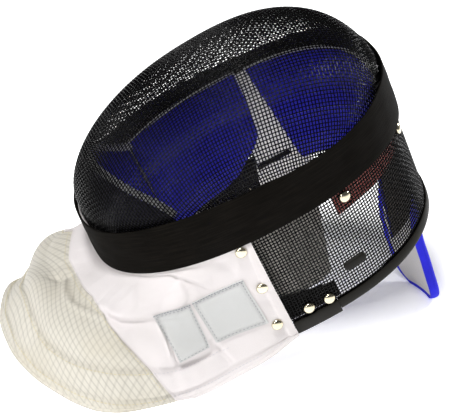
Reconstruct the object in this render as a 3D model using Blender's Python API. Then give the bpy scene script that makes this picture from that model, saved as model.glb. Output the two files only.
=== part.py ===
"""Fencing mask lying at rest on its bib and its rear tongue, in metres, +Z up.

The mask is drawn in its own frame: U runs from chin to crown, V runs to the wearer's right and W runs
forward out of the face. U = V = W = 0 is the middle of the oval that the domed face starts from. An empty
then tips that frame back by REST_ANGLE, so that the bib's rim and the tongue's tip touch the floor at Z = 0.
Places around the mask are given as a turn: 0 is the crown, 0.25 the wearer's left side, 0.5 the chin and
0.75 the right side. Places along the wall are given as a depth behind that oval; a negative depth is a
height on the domed face. An inset is measured inwards from the band's outer face.
"""

import math

import bmesh
import bpy
import numpy as np
from mathutils import Vector

# Pose at rest
REST_ANGLE = math.radians(24.5)  # the crown end is raised by this
REST_HEIGHT = 0.2060  # the band's centre above the floor
SINK = 0.0008  # soft edges are flattened by this much where they touch the floor

# The oval that the band follows
HALF_HEIGHT = 0.1483
HALF_WIDTH = 0.1110
OVAL_POWER = 2.31
CROWN_WIDENING = 0.064
LOOP_SIDES = 64

# Domed face
DOME_HEIGHT = 0.065
DOME_POWER = 2.6
DOME_ROUNDING = 1.52
DOME_SHIFT = 0.018
FACE_SKIRT = 0.025

# Layers of the wall, as insets
CLEARANCE = 0.0003
BAND_THICKNESS = 0.0020
CLOTH_THICKNESS = 0.0016
MESH_THICKNESS = 0.0020
CLOTH_INSET = BAND_THICKNESS + CLEARANCE + CLOTH_THICKNESS / 2
MESH_OUTER = BAND_THICKNESS + CLOTH_THICKNESS + 3 * CLEARANCE
MESH_INNER = MESH_OUTER + MESH_THICKNESS
LINER_OUTER = MESH_INNER + 0.0004

# Band and side wall
BAND_WIDTH = 0.0499
BAND_CROWNING = 0.0005
# The band's front edge as (turn either way from the crown, depth)
BAND_FRONT = (
    (0.0, 0.0035), (0.07, 0.0035), (0.11, 0.0060), (0.15, 0.0086), (0.19, 0.0092), (0.23, 0.0072),
    (0.27, 0.0048), (0.32, 0.0032), (0.38, 0.0038), (0.44, 0.0068), (0.5, 0.0076),
)
SIDE_DEPTH = 0.1540
CROWN_DEPTH = 0.1458
CROWN_TAPER = 0.050
CHIN_TAPER = 0.024  # the band's front edge is drawn in by this share at the chin
UNDER_BIB = 0.018  # how far the side wall runs on under the bib's hem

# Edge trim, a channel that wraps the side wall's rear edge
TRIM_COVER = 0.0080
TRIM_BASE = 0.0015
TRIM_WALL = 0.0013
SLEEVE_BASE = 0.0047
SLEEVE_END_U = 0.012

# Bib
HEM_U = -0.032
BIB_TUCK = 0.008
BIB_EMERGES = 0.0505
ROW_EMERGES, ROW_CREASE, ROW_SEAM, ROW_RIM = 0.20, 0.45, 0.80, 1.0
PANEL_GAP_ALONG, PANEL_GAP_DOWN = 0.0032, 0.0052  # the panel stays this clear of the seam, in stations and rows

# Each row is one station of the bib's left half, from the hem to the chin. The columns give, in millimetres,
# (u, width from the middle, w) on the neck crease, on the curved seam and on the rim.
BIB_STATIONS = (
    # neck crease,          curved seam,          rim
    ((-32, 105.0, -94), (-32, 105.0, -146), (-32, 105.0, -158)),
    ((-80, 97.0, -89), (-80, 102.5, -135), (-76.5, 103.5, -164.5)),
    ((-125, 93.5, -82), (-137, 107.0, -123), (-146, 102.3, -159.3)),
    ((-161, 79.6, -63), (-190, 99.0, -93), (-202.5, 101.0, -133.6)),
    ((-183, 46.4, -54), (-221, 59.0, -72), (-242.7, 57.0, -97)),
    ((-184, 0.0, -53), (-221, 0.0, -54), (-252.0, 0.0, -73)),
)
# The right half mirrors the left, but for the front of its lip, which lies higher and wider: (number of the
# station from the hem, with the same columns)
BIB_RIGHT_FRONT = (
    (4, ((-183, 46.4, -54), (-218, 58.5, -74), (-232.5, 70.5, -80))),
    (3, ((-161, 79.6, -63), (-188, 102.5, -86), (-197, 116.0, -125))),
)
# The seam round the front panel, mirrored about the chin: (station, row) down its side and along its top
PANEL_SIDE = ((0.415, 1.0), (0.445, 0.885), (0.476, 0.77), (0.512, 0.66), (0.565, 0.55), (0.638, 0.45))
PANEL_TOP = ((0.690, 0.42), (0.750, 0.395), (0.810, 0.384), (0.870, 0.377), (0.935, 0.375), (1.0, 0.375))

# Cloth patches on the bib's left side: (name, then the station and row of its four corners)
PATCHES = (
    ("patch_rear", (0.076, 0.388), (0.262, 0.388), (0.250, 0.745), (0.076, 0.700)),
    ("patch_front", (0.274, 0.392), (0.432, 0.413), (0.386, 0.770), (0.262, 0.740)),
)
PATCH_THICKNESS = 0.0008
PATCH_LIFT = 0.0009

# Rivets
RIVET_RADIUS = 0.0051
RIVET_HEIGHT = 0.0030
RIVET_SIDES = 12
HEM_RIVETS = ((0.061, 0.240), (0.036, 0.472), (0.051, 0.756))  # (station, row) through the bib's hem
# Rivets through the side wall: (name, u, depth)
WALL_RIVETS = (
    ("tab_a", -0.014, 0.1390),
    ("tab_b", 0.0055, 0.1402),
    ("strap_a", 0.057, 0.0590),
    ("strap_b", 0.1345, 0.0575),
)

# Webbing, tabs and keepers inside and outside the side wall
WEB_THICKNESS = 0.0014
CROWN_STRAP_END_U = 0.046
CROWN_STRAP_WIDTH = 0.022
CROWN_STRAP_DEPTH = 0.0625
CROWN_STRAP_LIFT = 0.008
TAB_FROM_U, TAB_TO_U = -0.030, 0.017
TAB_FROM, TAB_TO = 0.117, 0.1445
TAB_SLANT = 0.012  # the tab's front edge lies this much further back at its crown end
KEEPER_U, KEEPER_DEPTH = 0.041, 0.119
KEEPER_LENGTH, KEEPER_WIDTH, KEEPER_HEIGHT = 0.022, 0.0085, 0.0036

# Padding
PAD_THICKNESS = 0.012
PAD_EDGE = 0.42
CHEEK_FROM_U, CHEEK_TO_U = -0.074, 0.040
CHEEK_FROM, CHEEK_TO = 0.021, 0.1225
CHEEK_CUT = 0.018  # the rear crown corner of a cheek pad is cut back by this
CHIN_U = -0.077
# The chin pad's front edge: (place across it from left to right, height in millimetres)
CHIN_FRONT = ((-1.0, -10), (-0.8, 12), (-0.5, 24), (0.0, 26), (0.4, 17), (0.7, 0), (1.0, -24))
CHIN_TO = 0.068
CROWN_PAD_LEFT_U, CROWN_PAD_RIGHT_U = 0.100, 0.053
CROWN_PAD_FROM, CROWN_PAD_TO = 0.018, 0.133
CROWN_PAD_NOTCH = 0.024  # its rear edge is cut back by this at the crown, to clear the tongue's root

# Rear tongue: centre line (u, w) in millimetres, from its root inside the crown to its tip on the floor
TONGUE_LINE = ((131.8, -116), (128.3, -141), (119.0, -164), (111.3, -189), (107.5, -218), (104.4, -246), (102.0, -273.2))
TONGUE_HALF_WIDTH = 0.035
TONGUE_THICKNESS = 0.0085
TONGUE_CUP = 0.0048
TONGUE_TIP_ROUND = 0.034
TONGUE_SLICES = 13
LINING_THICKNESS = 0.0010
LINING_MARGIN = 0.0045


def clear_scene():
    for obj in list(bpy.data.objects):
        bpy.data.objects.remove(obj)


def make_material(name, rgb, roughness, metallic=0.0):
    material = bpy.data.materials.new(name)
    material.use_nodes = True
    shader = material.node_tree.nodes["Principled BSDF"]
    shader.inputs["Base Color"].default_value = (*rgb, 1)
    shader.inputs["Roughness"].default_value = roughness
    shader.inputs["Metallic"].default_value = metallic
    return material


# --- The wall of the mask -------------------------------------------------------------------------------


def oval_outline(count):
    """Points of the band's outer oval, evenly spaced along it, from the crown by the left side."""
    angles = np.linspace(0, 2 * math.pi, 2881)
    cos, sin = np.cos(angles), -np.sin(angles)
    u = HALF_HEIGHT * np.sign(cos) * np.abs(cos) ** (2 / OVAL_POWER)
    v = HALF_WIDTH * np.sign(sin) * np.abs(sin) ** (2 / OVAL_POWER)
    v = v * (1 + CROWN_WIDENING * u / HALF_HEIGHT)
    lengths = np.concatenate([[0], np.cumsum(np.hypot(np.diff(u), np.diff(v)))])
    even = np.linspace(0, lengths[-1], count + 1)[:-1]
    return np.stack([np.interp(even, lengths, u), np.interp(even, lengths, v)], axis=1)


def outward_normals(points):
    ahead, behind = np.roll(points, -1, axis=0), np.roll(points, 1, axis=0)
    along = ahead - behind
    normals = np.stack([-along[:, 1], along[:, 0]], axis=1)
    return normals / np.linalg.norm(normals, axis=1)[:, None]


OVAL = oval_outline(LOOP_SIDES)
OVAL_NORMALS = outward_normals(OVAL)


def oval_at(turn, inset=0.0):
    """(u, v) on the oval polygon drawn in by the inset."""
    place = (turn % 1.0) * LOOP_SIDES
    first = int(place) % LOOP_SIDES
    second = (first + 1) % LOOP_SIDES
    share = place - int(place)
    inner = OVAL - inset * OVAL_NORMALS
    return inner[first] * (1 - share) + inner[second] * share


def turn_of(u):
    """The turn on the wearer's left side where the oval has this u."""
    low, high = 0.0, 0.5
    for _ in range(40):
        middle = (low + high) / 2
        if oval_at(middle)[0] > u:
            low = middle
        else:
            high = middle
    return low


def rear_depth(turn):
    """Depth of the side wall's rear edge."""
    crownness = min(max((oval_at(turn)[0] / HALF_HEIGHT + 0.1) / 1.1, 0), 1) ** 2
    return SIDE_DEPTH + (CROWN_DEPTH - SIDE_DEPTH) * crownness


def wall_point(turn, depth, inset):
    """A point of the mask's wall: the domed face for a negative depth, else the band and the side wall."""
    u, v = oval_at(turn, inset)
    if u < 0:
        u *= 1 - CHIN_TAPER * max(1 - max(depth, 0) / BAND_WIDTH, 0)
    if depth < 0:
        share = (1 - (-depth / DOME_HEIGHT) ** DOME_ROUNDING) ** (1 / DOME_POWER)
        flattening = 1 - (inset - MESH_OUTER) / DOME_HEIGHT
        return Vector((u * share + DOME_SHIFT * (1 - share**2), v * share, -depth * flattening))
    if u > 0:
        u *= 1 - CROWN_TAPER * depth / CROWN_DEPTH
    return Vector((u, v, -depth))


def turns_between(first, last):
    """The two turns and every corner of the oval polygon between them."""
    start, stop = math.floor(first * LOOP_SIDES) + 1, math.ceil(last * LOOP_SIDES) - 1
    inner = [k / LOOP_SIDES for k in range(start, stop + 1)]
    inner = [turn for turn in inner if turn - first > 0.002 and last - turn > 0.002]
    return [first, *inner, last]


# --- Closed solids from grids of points -----------------------------------------------------------------


def add_object(name, material, bm):
    bmesh.ops.recalc_face_normals(bm, faces=bm.faces)
    mesh = bpy.data.meshes.new(name)
    bm.to_mesh(mesh)
    bm.free()
    mesh.materials.append(material)
    mesh.shade_smooth()
    mesh.set_sharp_from_angle(angle=math.radians(40))
    obj = bpy.data.objects.new(name, mesh)
    bpy.context.collection.objects.link(obj)
    obj.parent = bpy.data.objects["mask_frame"]
    return obj


def add_shell(name, material, outer, inner, wrap=False):
    """A closed solid between two grids of points, each a list of columns of equal length."""
    bm = bmesh.new()
    sides = [[[bm.verts.new(point) for point in column] for column in grid] for grid in (outer, inner)]
    columns, rows = len(outer), len(outer[0])
    last = columns if wrap else columns - 1
    for i in range(last):
        k = (i + 1) % columns
        for j in range(rows - 1):
            for side in sides:
                bm.faces.new((side[i][j], side[k][j], side[k][j + 1], side[i][j + 1]))
        for j in (0, rows - 1):
            bm.faces.new((sides[0][i][j], sides[0][k][j], sides[1][k][j], sides[1][i][j]))
    if not wrap:
        for i in (0, columns - 1):
            for j in range(rows - 1):
                bm.faces.new((sides[0][i][j], sides[0][i][j + 1], sides[1][i][j + 1], sides[1][i][j]))
    return add_object(name, material, bm)


def add_loft(name, material, sections, wrap=False):
    """A closed solid through sections, each a closed ring of points."""
    bm = bmesh.new()
    rings = [[bm.verts.new(point) for point in section] for section in sections]
    count = len(rings[0])
    last = len(rings) if wrap else len(rings) - 1
    for i in range(last):
        k = (i + 1) % len(rings)
        for j in range(count):
            m = (j + 1) % count
            bm.faces.new((rings[i][j], rings[k][j], rings[k][m], rings[i][m]))
    if not wrap:
        bm.faces.new(rings[0])
        bm.faces.new(rings[-1])
    return add_object(name, material, bm)


# --- Face, band and side wall ---------------------------------------------------------------------------


def build_face_mesh(material):
    shares = [math.sin(math.pi / 2 * step / 9) ** 0.85 for step in range(1, 9)]
    heights = [DOME_HEIGHT * (1 - share**DOME_POWER) ** (1 / DOME_ROUNDING) for share in shares]
    depths = [-height for height in heights] + [-0.0025, 0.0, FACE_SKIRT]
    bm = bmesh.new()
    grids = []
    for inset in (MESH_OUTER, MESH_INNER):
        top = bm.verts.new((DOME_SHIFT, 0, DOME_HEIGHT - (inset - MESH_OUTER)))
        rows = []
        for depth in depths:
            rows.append([bm.verts.new(wall_point(k / LOOP_SIDES, depth, inset)) for k in range(LOOP_SIDES)])
        grids.append((top, rows))
    for top, rows in grids:
        for k in range(LOOP_SIDES):
            m = (k + 1) % LOOP_SIDES
            bm.faces.new((top, rows[0][k], rows[0][m]))
            for upper, lower in zip(rows, rows[1:]):
                bm.faces.new((upper[k], lower[k], lower[m], upper[m]))
    outer, inner = grids[0][1][-1], grids[1][1][-1]
    for k in range(LOOP_SIDES):
        m = (k + 1) % LOOP_SIDES
        bm.faces.new((outer[k], inner[k], inner[m], outer[m]))
    return add_object("face_mesh", material, bm)


def build_band(material):
    sections = []
    for k in range(LOOP_SIDES):
        turn = k / LOOP_SIDES
        front = float(np.interp(min(turn, 1 - turn), *zip(*BAND_FRONT)))
        profile = (
            (front, BAND_CROWNING),
            (front + BAND_WIDTH * 0.12, 0.0),
            (BAND_WIDTH * 0.88, 0.0),
            (BAND_WIDTH, BAND_CROWNING),
            (BAND_WIDTH, BAND_THICKNESS),
            (front, BAND_THICKNESS),
        )
        sections.append([wall_point(turn, depth, inset) for depth, inset in profile])
    return add_loft("band", material, sections, wrap=True)


def build_side_mesh(material):
    hidden = turn_of(HEM_U - UNDER_BIB)
    grids = ([], [])
    for turn in turns_between(-hidden, hidden):
        rear = rear_depth(turn)
        for grid, inset in zip(grids, (MESH_OUTER, MESH_INNER)):
            depths = np.linspace(FACE_SKIRT + CLEARANCE, rear, 4)
            grid.append([wall_point(turn, depth, inset) for depth in depths])
    return add_shell("side_mesh", material, *grids)


def channel_section(turn, base):
    """The channel's U section round the side wall's rear edge."""
    rear = rear_depth(turn)
    outer, inner = MESH_OUTER - CLEARANCE, MESH_INNER + CLEARANCE
    lip, slot, closed = rear - TRIM_COVER, rear + CLEARANCE, rear + base
    profile = (
        (closed, outer - TRIM_WALL),
        (lip, outer - TRIM_WALL),
        (lip, outer),
        (slot, outer),
        (slot, inner),
        (lip, inner),
        (lip, inner + TRIM_WALL),
        (closed, inner + TRIM_WALL),
    )
    return [wall_point(turn, depth, inset) for depth, inset in profile]


def build_trim(material):
    """The trim over the crown, and at each end a deeper sleeve that reaches the bib's hem."""
    joint = turn_of(SLEEVE_END_U)
    hem = turn_of(HEM_U + 0.0008)
    gap = CLEARANCE / 0.8
    add_loft("edge_trim", material, [channel_section(turn, TRIM_BASE) for turn in turns_between(-joint, joint)])
    for name, first, last in (("trim_sleeve_left", joint + gap, hem), ("trim_sleeve_right", -hem, -joint - gap)):
        add_loft(name, material, [channel_section(turn, SLEEVE_BASE) for turn in turns_between(first, last)])


# --- Bib ------------------------------------------------------------------------------------------------


def spline(points, place):
    """A point on a smooth curve through evenly numbered points, at a place from 0 to their count less one."""
    last = len(points) - 1
    first = min(int(place), last - 1)
    share = place - first
    b, c = points[first], points[first + 1]
    a = points[first - 1] if first else 2 * b - c
    d = points[first + 2] if first + 2 <= last else 2 * c - b
    return b + 0.5 * share * (c - a + share * (2 * a - 5 * b + 4 * c - d + share * (3 * (b - c) + d - a)))


def bib_column_points():
    """For the crease, the seam and the rim: the stations of both halves of the bib, left to right."""
    hem_width = -oval_at(turn_of(HEM_U), CLOTH_INSET)[1]
    columns = []
    for column in range(3):
        left = []
        for number, station in enumerate(BIB_STATIONS):
            u, width, w = (value / 1000 for value in station[column])
            left.append((u, hem_width if number == 0 else width, w))
        right = list(left[:-1])
        for number, station in BIB_RIGHT_FRONT:
            right[number] = tuple(value / 1000 for value in station[column])
        near = [np.array((u, -width, w)) for u, width, w in left]
        far = [np.array((u, width, w)) for u, width, w in right[::-1]]
        columns.append(near + far)
    return columns


BIB_COLUMNS = bib_column_points()


def bib_turn(station):
    hem = turn_of(HEM_U)
    return hem + (0.5 - hem) * station


def bib_middle(station, row):
    """The middle of the bib's cloth. Stations run from 0 at the left hem by 1 at the chin to 2."""
    turn = bib_turn(station)
    tucked = np.array(wall_point(turn, BIB_TUCK, CLOTH_INSET))
    emerging = np.array(wall_point(turn, BIB_EMERGES, CLOTH_INSET))
    if row <= ROW_EMERGES:
        return tucked + (emerging - tucked) * row / ROW_EMERGES
    place = station * (len(BIB_STATIONS) - 1)
    crease, seam, rim = (spline(column, place) for column in BIB_COLUMNS)
    knots = (ROW_EMERGES, ROW_CREASE, ROW_SEAM, ROW_RIM)
    points = (emerging, crease, seam, rim)
    start = np.array((0.0, 0.0, -0.10))
    slopes = [start]
    for k in (1, 2):
        slopes.append((points[k + 1] - points[k - 1]) / (knots[k + 1] - knots[k - 1]))
    slopes.append((points[3] - points[2]) / (knots[3] - knots[2]))
    k = 0 if row < ROW_CREASE else 1 if row < ROW_SEAM else 2
    span = knots[k + 1] - knots[k]
    x = (row - knots[k]) / span
    return (
        (2 * x**3 - 3 * x**2 + 1) * points[k]
        + (x**3 - 2 * x**2 + x) * span * slopes[k]
        + (3 * x**2 - 2 * x**3) * points[k + 1]
        + (x**3 - x**2) * span * slopes[k + 1]
    )


def bib_point(station, row, rise):
    """A point this far outside the cloth's middle."""
    if row <= ROW_EMERGES:
        depth = BIB_TUCK + (BIB_EMERGES - BIB_TUCK) * row / ROW_EMERGES
        return wall_point(bib_turn(station), depth, CLOTH_INSET - rise)
    step = 0.012
    low, high = max(station - step, 0), min(station + step, 2)
    across = bib_middle(high, row) - bib_middle(low, row)
    down = bib_middle(station, min(row + step, 1)) - bib_middle(station, max(row - step, ROW_EMERGES))
    normal = Vector(np.cross(across, down)).normalized()
    return Vector(bib_middle(station, row)) + rise * normal


def panel_edge(station):
    """The row where the white cloth ends at a station: the rim, or the front panel's edge."""
    share = station if station <= 1 else 2 - station
    places, rows = zip(*PANEL_SIDE, *PANEL_TOP)
    return np.interp(share, places, rows)


def build_bib_cloth(material):
    seam = [station for station, row in PANEL_SIDE + PANEL_TOP]
    left = [*np.linspace(0, seam[0], 10)[:-1], *seam]
    stations = left + [2 - station for station in left[-2::-1]]
    shares = (0.0, 0.20, 0.30, 0.40, 0.50, 0.62, 0.74, 0.87, 1.0)
    half = CLOTH_THICKNESS / 2
    grids = ([], [])
    for station in stations:
        foot = panel_edge(station)
        reach = (foot - ROW_EMERGES) / (ROW_RIM - ROW_EMERGES)
        rows = [share if share <= ROW_EMERGES else ROW_EMERGES + (share - ROW_EMERGES) * reach for share in shares]
        for grid, rise in zip(grids, (half, -half)):
            grid.append([bib_point(station, row, rise) for row in rows])
    return add_shell("bib_cloth", material, *grids)


def build_bib_front(material):
    """The front panel, a grid between its two side seams, its top seam and the rim."""
    half = CLOTH_THICKNESS / 2
    side_stations, side_rows = zip(*PANEL_SIDE)
    corner, top_corner = PANEL_SIDE[-1]
    tops = (PANEL_SIDE[-1], *PANEL_TOP)
    tops = [tops[0], *[place for a, b in zip(tops, tops[1:]) for place in (np.mean((a, b), axis=0), b)]]
    columns = [(station, row, -1) for station, row in tops] + [(station, row, 1) for station, row in tops[-2::-1]]
    grids = ([], [])
    for top_station, top_row, side in columns:
        inward = (top_station - corner) / (1 - corner)
        outer, inner = [], []
        for side_row in side_rows[::-1]:
            down = (side_row - top_corner) / (ROW_RIM - top_corner)
            edge = np.interp(-side_row, [-row for row in side_rows], side_stations) + PANEL_GAP_ALONG
            share = edge + (1 - edge) * inward
            station = share if side < 0 else 2 - share
            top = top_row + PANEL_GAP_DOWN
            row = top + (ROW_RIM - top) * down
            outer.append(bib_point(station, row, half))
            inner.append(bib_point(station, row, -half))
        grids[0].append(outer)
        grids[1].append(inner)
    return add_shell("bib_front", material, *grids)


def build_patches(material):
    low = CLOTH_THICKNESS / 2 + PATCH_LIFT
    for name, *corners in PATCHES:
        top_rear, top_front, foot_front, foot_rear = (np.array(corner) for corner in corners)
        grids = ([], [])
        for along in np.linspace(0, 1, 6):
            top = top_rear + (top_front - top_rear) * along
            foot = foot_rear + (foot_front - foot_rear) * along
            places = [top + (foot - top) * down for down in np.linspace(0, 1, 6)]
            for grid, rise in zip(grids, (low + PATCH_THICKNESS, low)):
                grid.append([bib_point(station, row, rise) for station, row in places])
        add_shell(name, material, *grids)


# --- Rivets ---------------------------------------------------------------------------------------------


def add_rivet(name, material, seat, outward):
    """A domed cap whose flat back lies on its seat."""
    bm = bmesh.new()
    turn_to = Vector((0, 0, 1)).rotation_difference(outward).to_matrix()
    rings = []
    for share, height in ((1.0, 0.0), (0.98, 0.28), (0.72, 0.74)):
        ring = []
        for k in range(RIVET_SIDES):
            angle = 2 * math.pi * k / RIVET_SIDES
            local = Vector((math.cos(angle), math.sin(angle), 0)) * RIVET_RADIUS * share
            local.z = RIVET_HEIGHT * height
            ring.append(bm.verts.new(seat + turn_to @ local))
        rings.append(ring)
    top = bm.verts.new(seat + outward * RIVET_HEIGHT)
    bm.faces.new(rings[0])
    for lower, upper in zip(rings, rings[1:]):
        for k in range(RIVET_SIDES):
            m = (k + 1) % RIVET_SIDES
            bm.faces.new((lower[k], lower[m], upper[m], upper[k]))
    for k in range(RIVET_SIDES):
        bm.faces.new((rings[-1][k], rings[-1][(k + 1) % RIVET_SIDES], top))
    add_object(name, material, bm)


def mirrored(vector):
    return Vector((vector.x, -vector.y, vector.z))


def build_rivets(material):
    seats = []
    step = 0.02
    for number, (station, row) in enumerate(HEM_RIVETS, start=1):
        surface = bib_point(station, row, CLOTH_THICKNESS / 2)
        outward = (surface - bib_point(station, row, 0)).normalized()
        seats.append((f"hem_{number}", surface, outward))
    for label, u, depth in WALL_RIVETS:
        turn = turn_of(u)
        surface = wall_point(turn, depth, MESH_OUTER)
        along = wall_point(turn + step, depth, MESH_OUTER) - wall_point(turn - step, depth, MESH_OUTER)
        down = wall_point(turn, depth + 0.01, MESH_OUTER) - wall_point(turn, depth - 0.01, MESH_OUTER)
        seats.append((label, surface, along.cross(down).normalized()))
    for label, surface, outward in seats:
        seat = surface + outward * 2 * CLEARANCE
        add_rivet(f"rivet_{label}_left", material, seat, outward)
        add_rivet(f"rivet_{label}_right", material, mirrored(seat), mirrored(outward))


# --- Webbing, tabs and keepers --------------------------------------------------------------------------


def build_crown_strap(material):
    end = turn_of(CROWN_STRAP_END_U)
    sections = []
    for turn in turns_between(-end, end):
        lift = CROWN_STRAP_LIFT * min(max(1 - abs(turn) / end, 0), 1)
        first, last = (CROWN_STRAP_DEPTH - lift + side * CROWN_STRAP_WIDTH / 2 for side in (-1, 1))
        outer, inner = LINER_OUTER, LINER_OUTER + WEB_THICKNESS
        profile = ((first, outer), (last, outer), (last, inner), (first, inner))
        sections.append([wall_point(turn, depth, inset) for depth, inset in profile])
    add_loft("crown_strap", material, sections)


def build_tabs(material):
    first, last = turn_of(TAB_TO_U), turn_of(TAB_FROM_U)
    for name, start, stop in (("strap_tab_left", first, last), ("strap_tab_right", -last, -first)):
        sections = []
        for turn in turns_between(start, stop):
            outer, inner = LINER_OUTER, LINER_OUTER + WEB_THICKNESS
            front = TAB_FROM + TAB_SLANT * (last - abs(turn)) / (last - first)
            profile = ((front, outer), (TAB_TO, outer), (TAB_TO, inner), (front, inner))
            sections.append([wall_point(turn, depth, inset) for depth, inset in profile])
        add_loft(name, material, sections)


def build_keepers(material):
    """A low bar with round ends on the outside of each side wall."""
    turn = turn_of(KEEPER_U)
    seat = wall_point(turn, KEEPER_DEPTH, MESH_OUTER)
    along = (wall_point(turn - 0.02, KEEPER_DEPTH, MESH_OUTER) - wall_point(turn + 0.02, KEEPER_DEPTH, MESH_OUTER)).normalized()
    outward = along.cross(Vector((0, 0, 1))).normalized()
    outward = outward if outward.y < 0 else -outward
    across = outward.cross(along)
    for name, flip in (("keeper_left", False), ("keeper_right", True)):
        rings = []
        for height, shrink in ((0.0, 0.0), (0.7, 0.0), (1.0, 0.0012)):
            radius = KEEPER_WIDTH / 2 - shrink
            ring = []
            for k in range(12):
                angle = 2 * math.pi * (k + 0.5) / 12
                reach = math.copysign((KEEPER_LENGTH - KEEPER_WIDTH) / 2, math.cos(angle))
                local = along * (reach + radius * math.cos(angle)) + across * radius * math.sin(angle)
                point = seat + local + outward * (0.0006 + KEEPER_HEIGHT * height)
                ring.append(mirrored(point) if flip else point)
            rings.append(ring)
        add_loft(name, material, rings)


# --- Padding --------------------------------------------------------------------------------------------


def soft_thickness(column, columns, row, rows, full):
    """A pad is thinner along its edges."""
    at_edge = column in (0, columns - 1) or row in (0, rows - 1)
    return full * (PAD_EDGE if at_edge else 1.0)


def add_pad(name, material, turns, depths_at, outer_inset, full):
    """A pad inside the wall. depths_at(turn) gives the depths of its rows."""
    grids = ([], [])
    for i, turn in enumerate(turns):
        depths = depths_at(turn)
        outer, inner = [], []
        for j, depth in enumerate(depths):
            outer.append(wall_point(turn, depth, outer_inset))
            thickness = soft_thickness(i, len(turns), j, len(depths), full)
            inner.append(wall_point(turn, depth, outer_inset + thickness))
        grids[0].append(outer)
        grids[1].append(inner)
    add_shell(name, material, *grids)


def edge_rows(first, last, count):
    """Depths from first to last, with a narrow row along each edge."""
    margin = 0.006
    return [first, *np.linspace(first + margin, last - margin, count - 2), last]


def edge_turns(first, last, margin=0.007):
    inner = turns_between(first + margin, last - margin)
    return [first, *inner, last]


def build_cheek_pads(material):
    first, last = turn_of(CHEEK_TO_U), turn_of(CHEEK_FROM_U)
    pad_outer = LINER_OUTER + WEB_THICKNESS + 0.0004

    def depths_at(turn):
        place = (abs(turn) - first) / (last - first)
        cut = CHEEK_CUT * max(1 - place / 0.38, 0)
        return edge_rows(CHEEK_FROM + 0.006 * max(place - 0.7, 0) / 0.3, CHEEK_TO - cut, 8)

    add_pad("cheek_pad_left", material, edge_turns(first, last), depths_at, pad_outer, PAD_THICKNESS)
    add_pad("cheek_pad_right", material, edge_turns(-last, -first), depths_at, pad_outer, PAD_THICKNESS)


def build_chin_pad(material):
    """The chin pad lines the dome above the chin and hangs down behind the band."""
    edge = turn_of(CHIN_U)

    def depths_at(turn):
        across = (turn - 0.5) / (0.5 - edge)
        front = -np.interp(across, *zip(*CHIN_FRONT)) / 1000
        if front > -0.004:
            return edge_rows(front, CHIN_TO, 10)
        climb = [front, front + 0.005, front * 0.42, 0.0, 0.008]
        return climb + [0.022, 0.038, 0.052, CHIN_TO - 0.006, CHIN_TO]

    turns = edge_turns(edge, 1 - edge)
    add_pad("chin_pad", material, turns, depths_at, LINER_OUTER, PAD_THICKNESS - 0.002)


def build_crown_pad(material):
    left, right = turn_of(CROWN_PAD_LEFT_U), -turn_of(CROWN_PAD_RIGHT_U)
    outer = LINER_OUTER + WEB_THICKNESS + 0.0005

    def depths_at(turn):
        notch = min(max((0.088 - abs(turn)) / 0.030, 0), 1)
        return edge_rows(CROWN_PAD_FROM, CROWN_PAD_TO - CROWN_PAD_NOTCH * notch, 8)

    add_pad("crown_pad", material, edge_turns(right, left), depths_at, outer, PAD_THICKNESS + 0.002)


# --- Tongue ---------------------------------------------------------------------------------------------


def tongue_place(share):
    """(centre, outward normal, half width) at a share of the tongue's length."""
    line = [np.array((u, 0.0, w)) / 1000 for u, w in TONGUE_LINE]
    place = share * (len(line) - 1)
    centre = spline(line, place)
    ahead, behind = spline(line, min(place + 0.05, len(line) - 1)), spline(line, max(place - 0.05, 0))
    along = Vector(ahead - behind).normalized()
    outward = Vector((0, 1, 0)).cross(along).normalized()
    outward = outward if outward.x > 0 else -outward
    length = 0.170 * (1 - share)
    half = TONGUE_HALF_WIDTH * min(0.86 + share * 0.5, 1.0)
    if length < TONGUE_TIP_ROUND:
        half *= math.sqrt(max(1 - ((TONGUE_TIP_ROUND - length) / (TONGUE_TIP_ROUND * 1.03)) ** 2, 0))
    return Vector(centre), outward, half


def tongue_point(share, across, rise, margin=0.0):
    centre, outward, half = tongue_place(share)
    sideways = (half - margin) * across
    cup = TONGUE_CUP * (sideways / TONGUE_HALF_WIDTH) ** 2
    return centre + Vector((0, sideways, 0)) + outward * (rise - cup)


def build_tongue(pad_material, lining_material):
    half = TONGUE_THICKNESS / 2
    shares = [*np.linspace(0, 0.8, TONGUE_SLICES - 5), *np.linspace(0.84, 1.0, 6)]
    grids = ([], [])
    for share in shares:
        outer, inner = [], []
        for across in np.linspace(-1, 1, 9):
            soft = half * (0.55 if abs(across) > 0.99 else 1.0) * (0.6 if share > 0.995 or share < 0.005 else 1.0)
            outer.append(tongue_point(share, across, soft))
            inner.append(tongue_point(share, across, -soft))
        grids[0].append(outer)
        grids[1].append(inner)
    add_shell("tongue_pad", pad_material, *grids)
    grids = ([], [])
    for share in np.linspace(0.27, 0.925, 11):
        low = half + CLEARANCE
        for grid, rise in zip(grids, (-low, -low - LINING_THICKNESS)):
            margin = LINING_MARGIN
            grid.append([tongue_point(share, across, rise, margin) for across in np.linspace(-1, 1, 7)])
    add_shell("tongue_lining", lining_material, *grids)


# --- Rest -----------------------------------------------------------------------------------------------


def add_floor_cutter():
    """The space under the floor, which flattens the soft edges that rest there."""
    bm = bmesh.new()
    bmesh.ops.create_cube(bm, size=1.0)
    mesh = bpy.data.meshes.new("floor_cutter")
    bm.to_mesh(mesh)
    bm.free()
    cutter = bpy.data.objects.new("floor_cutter", mesh)
    bpy.context.collection.objects.link(cutter)
    cutter.location = (0, 0, -0.5)
    cutter.hide_render = True
    cutter.display_type = "WIRE"
    return cutter


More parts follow.
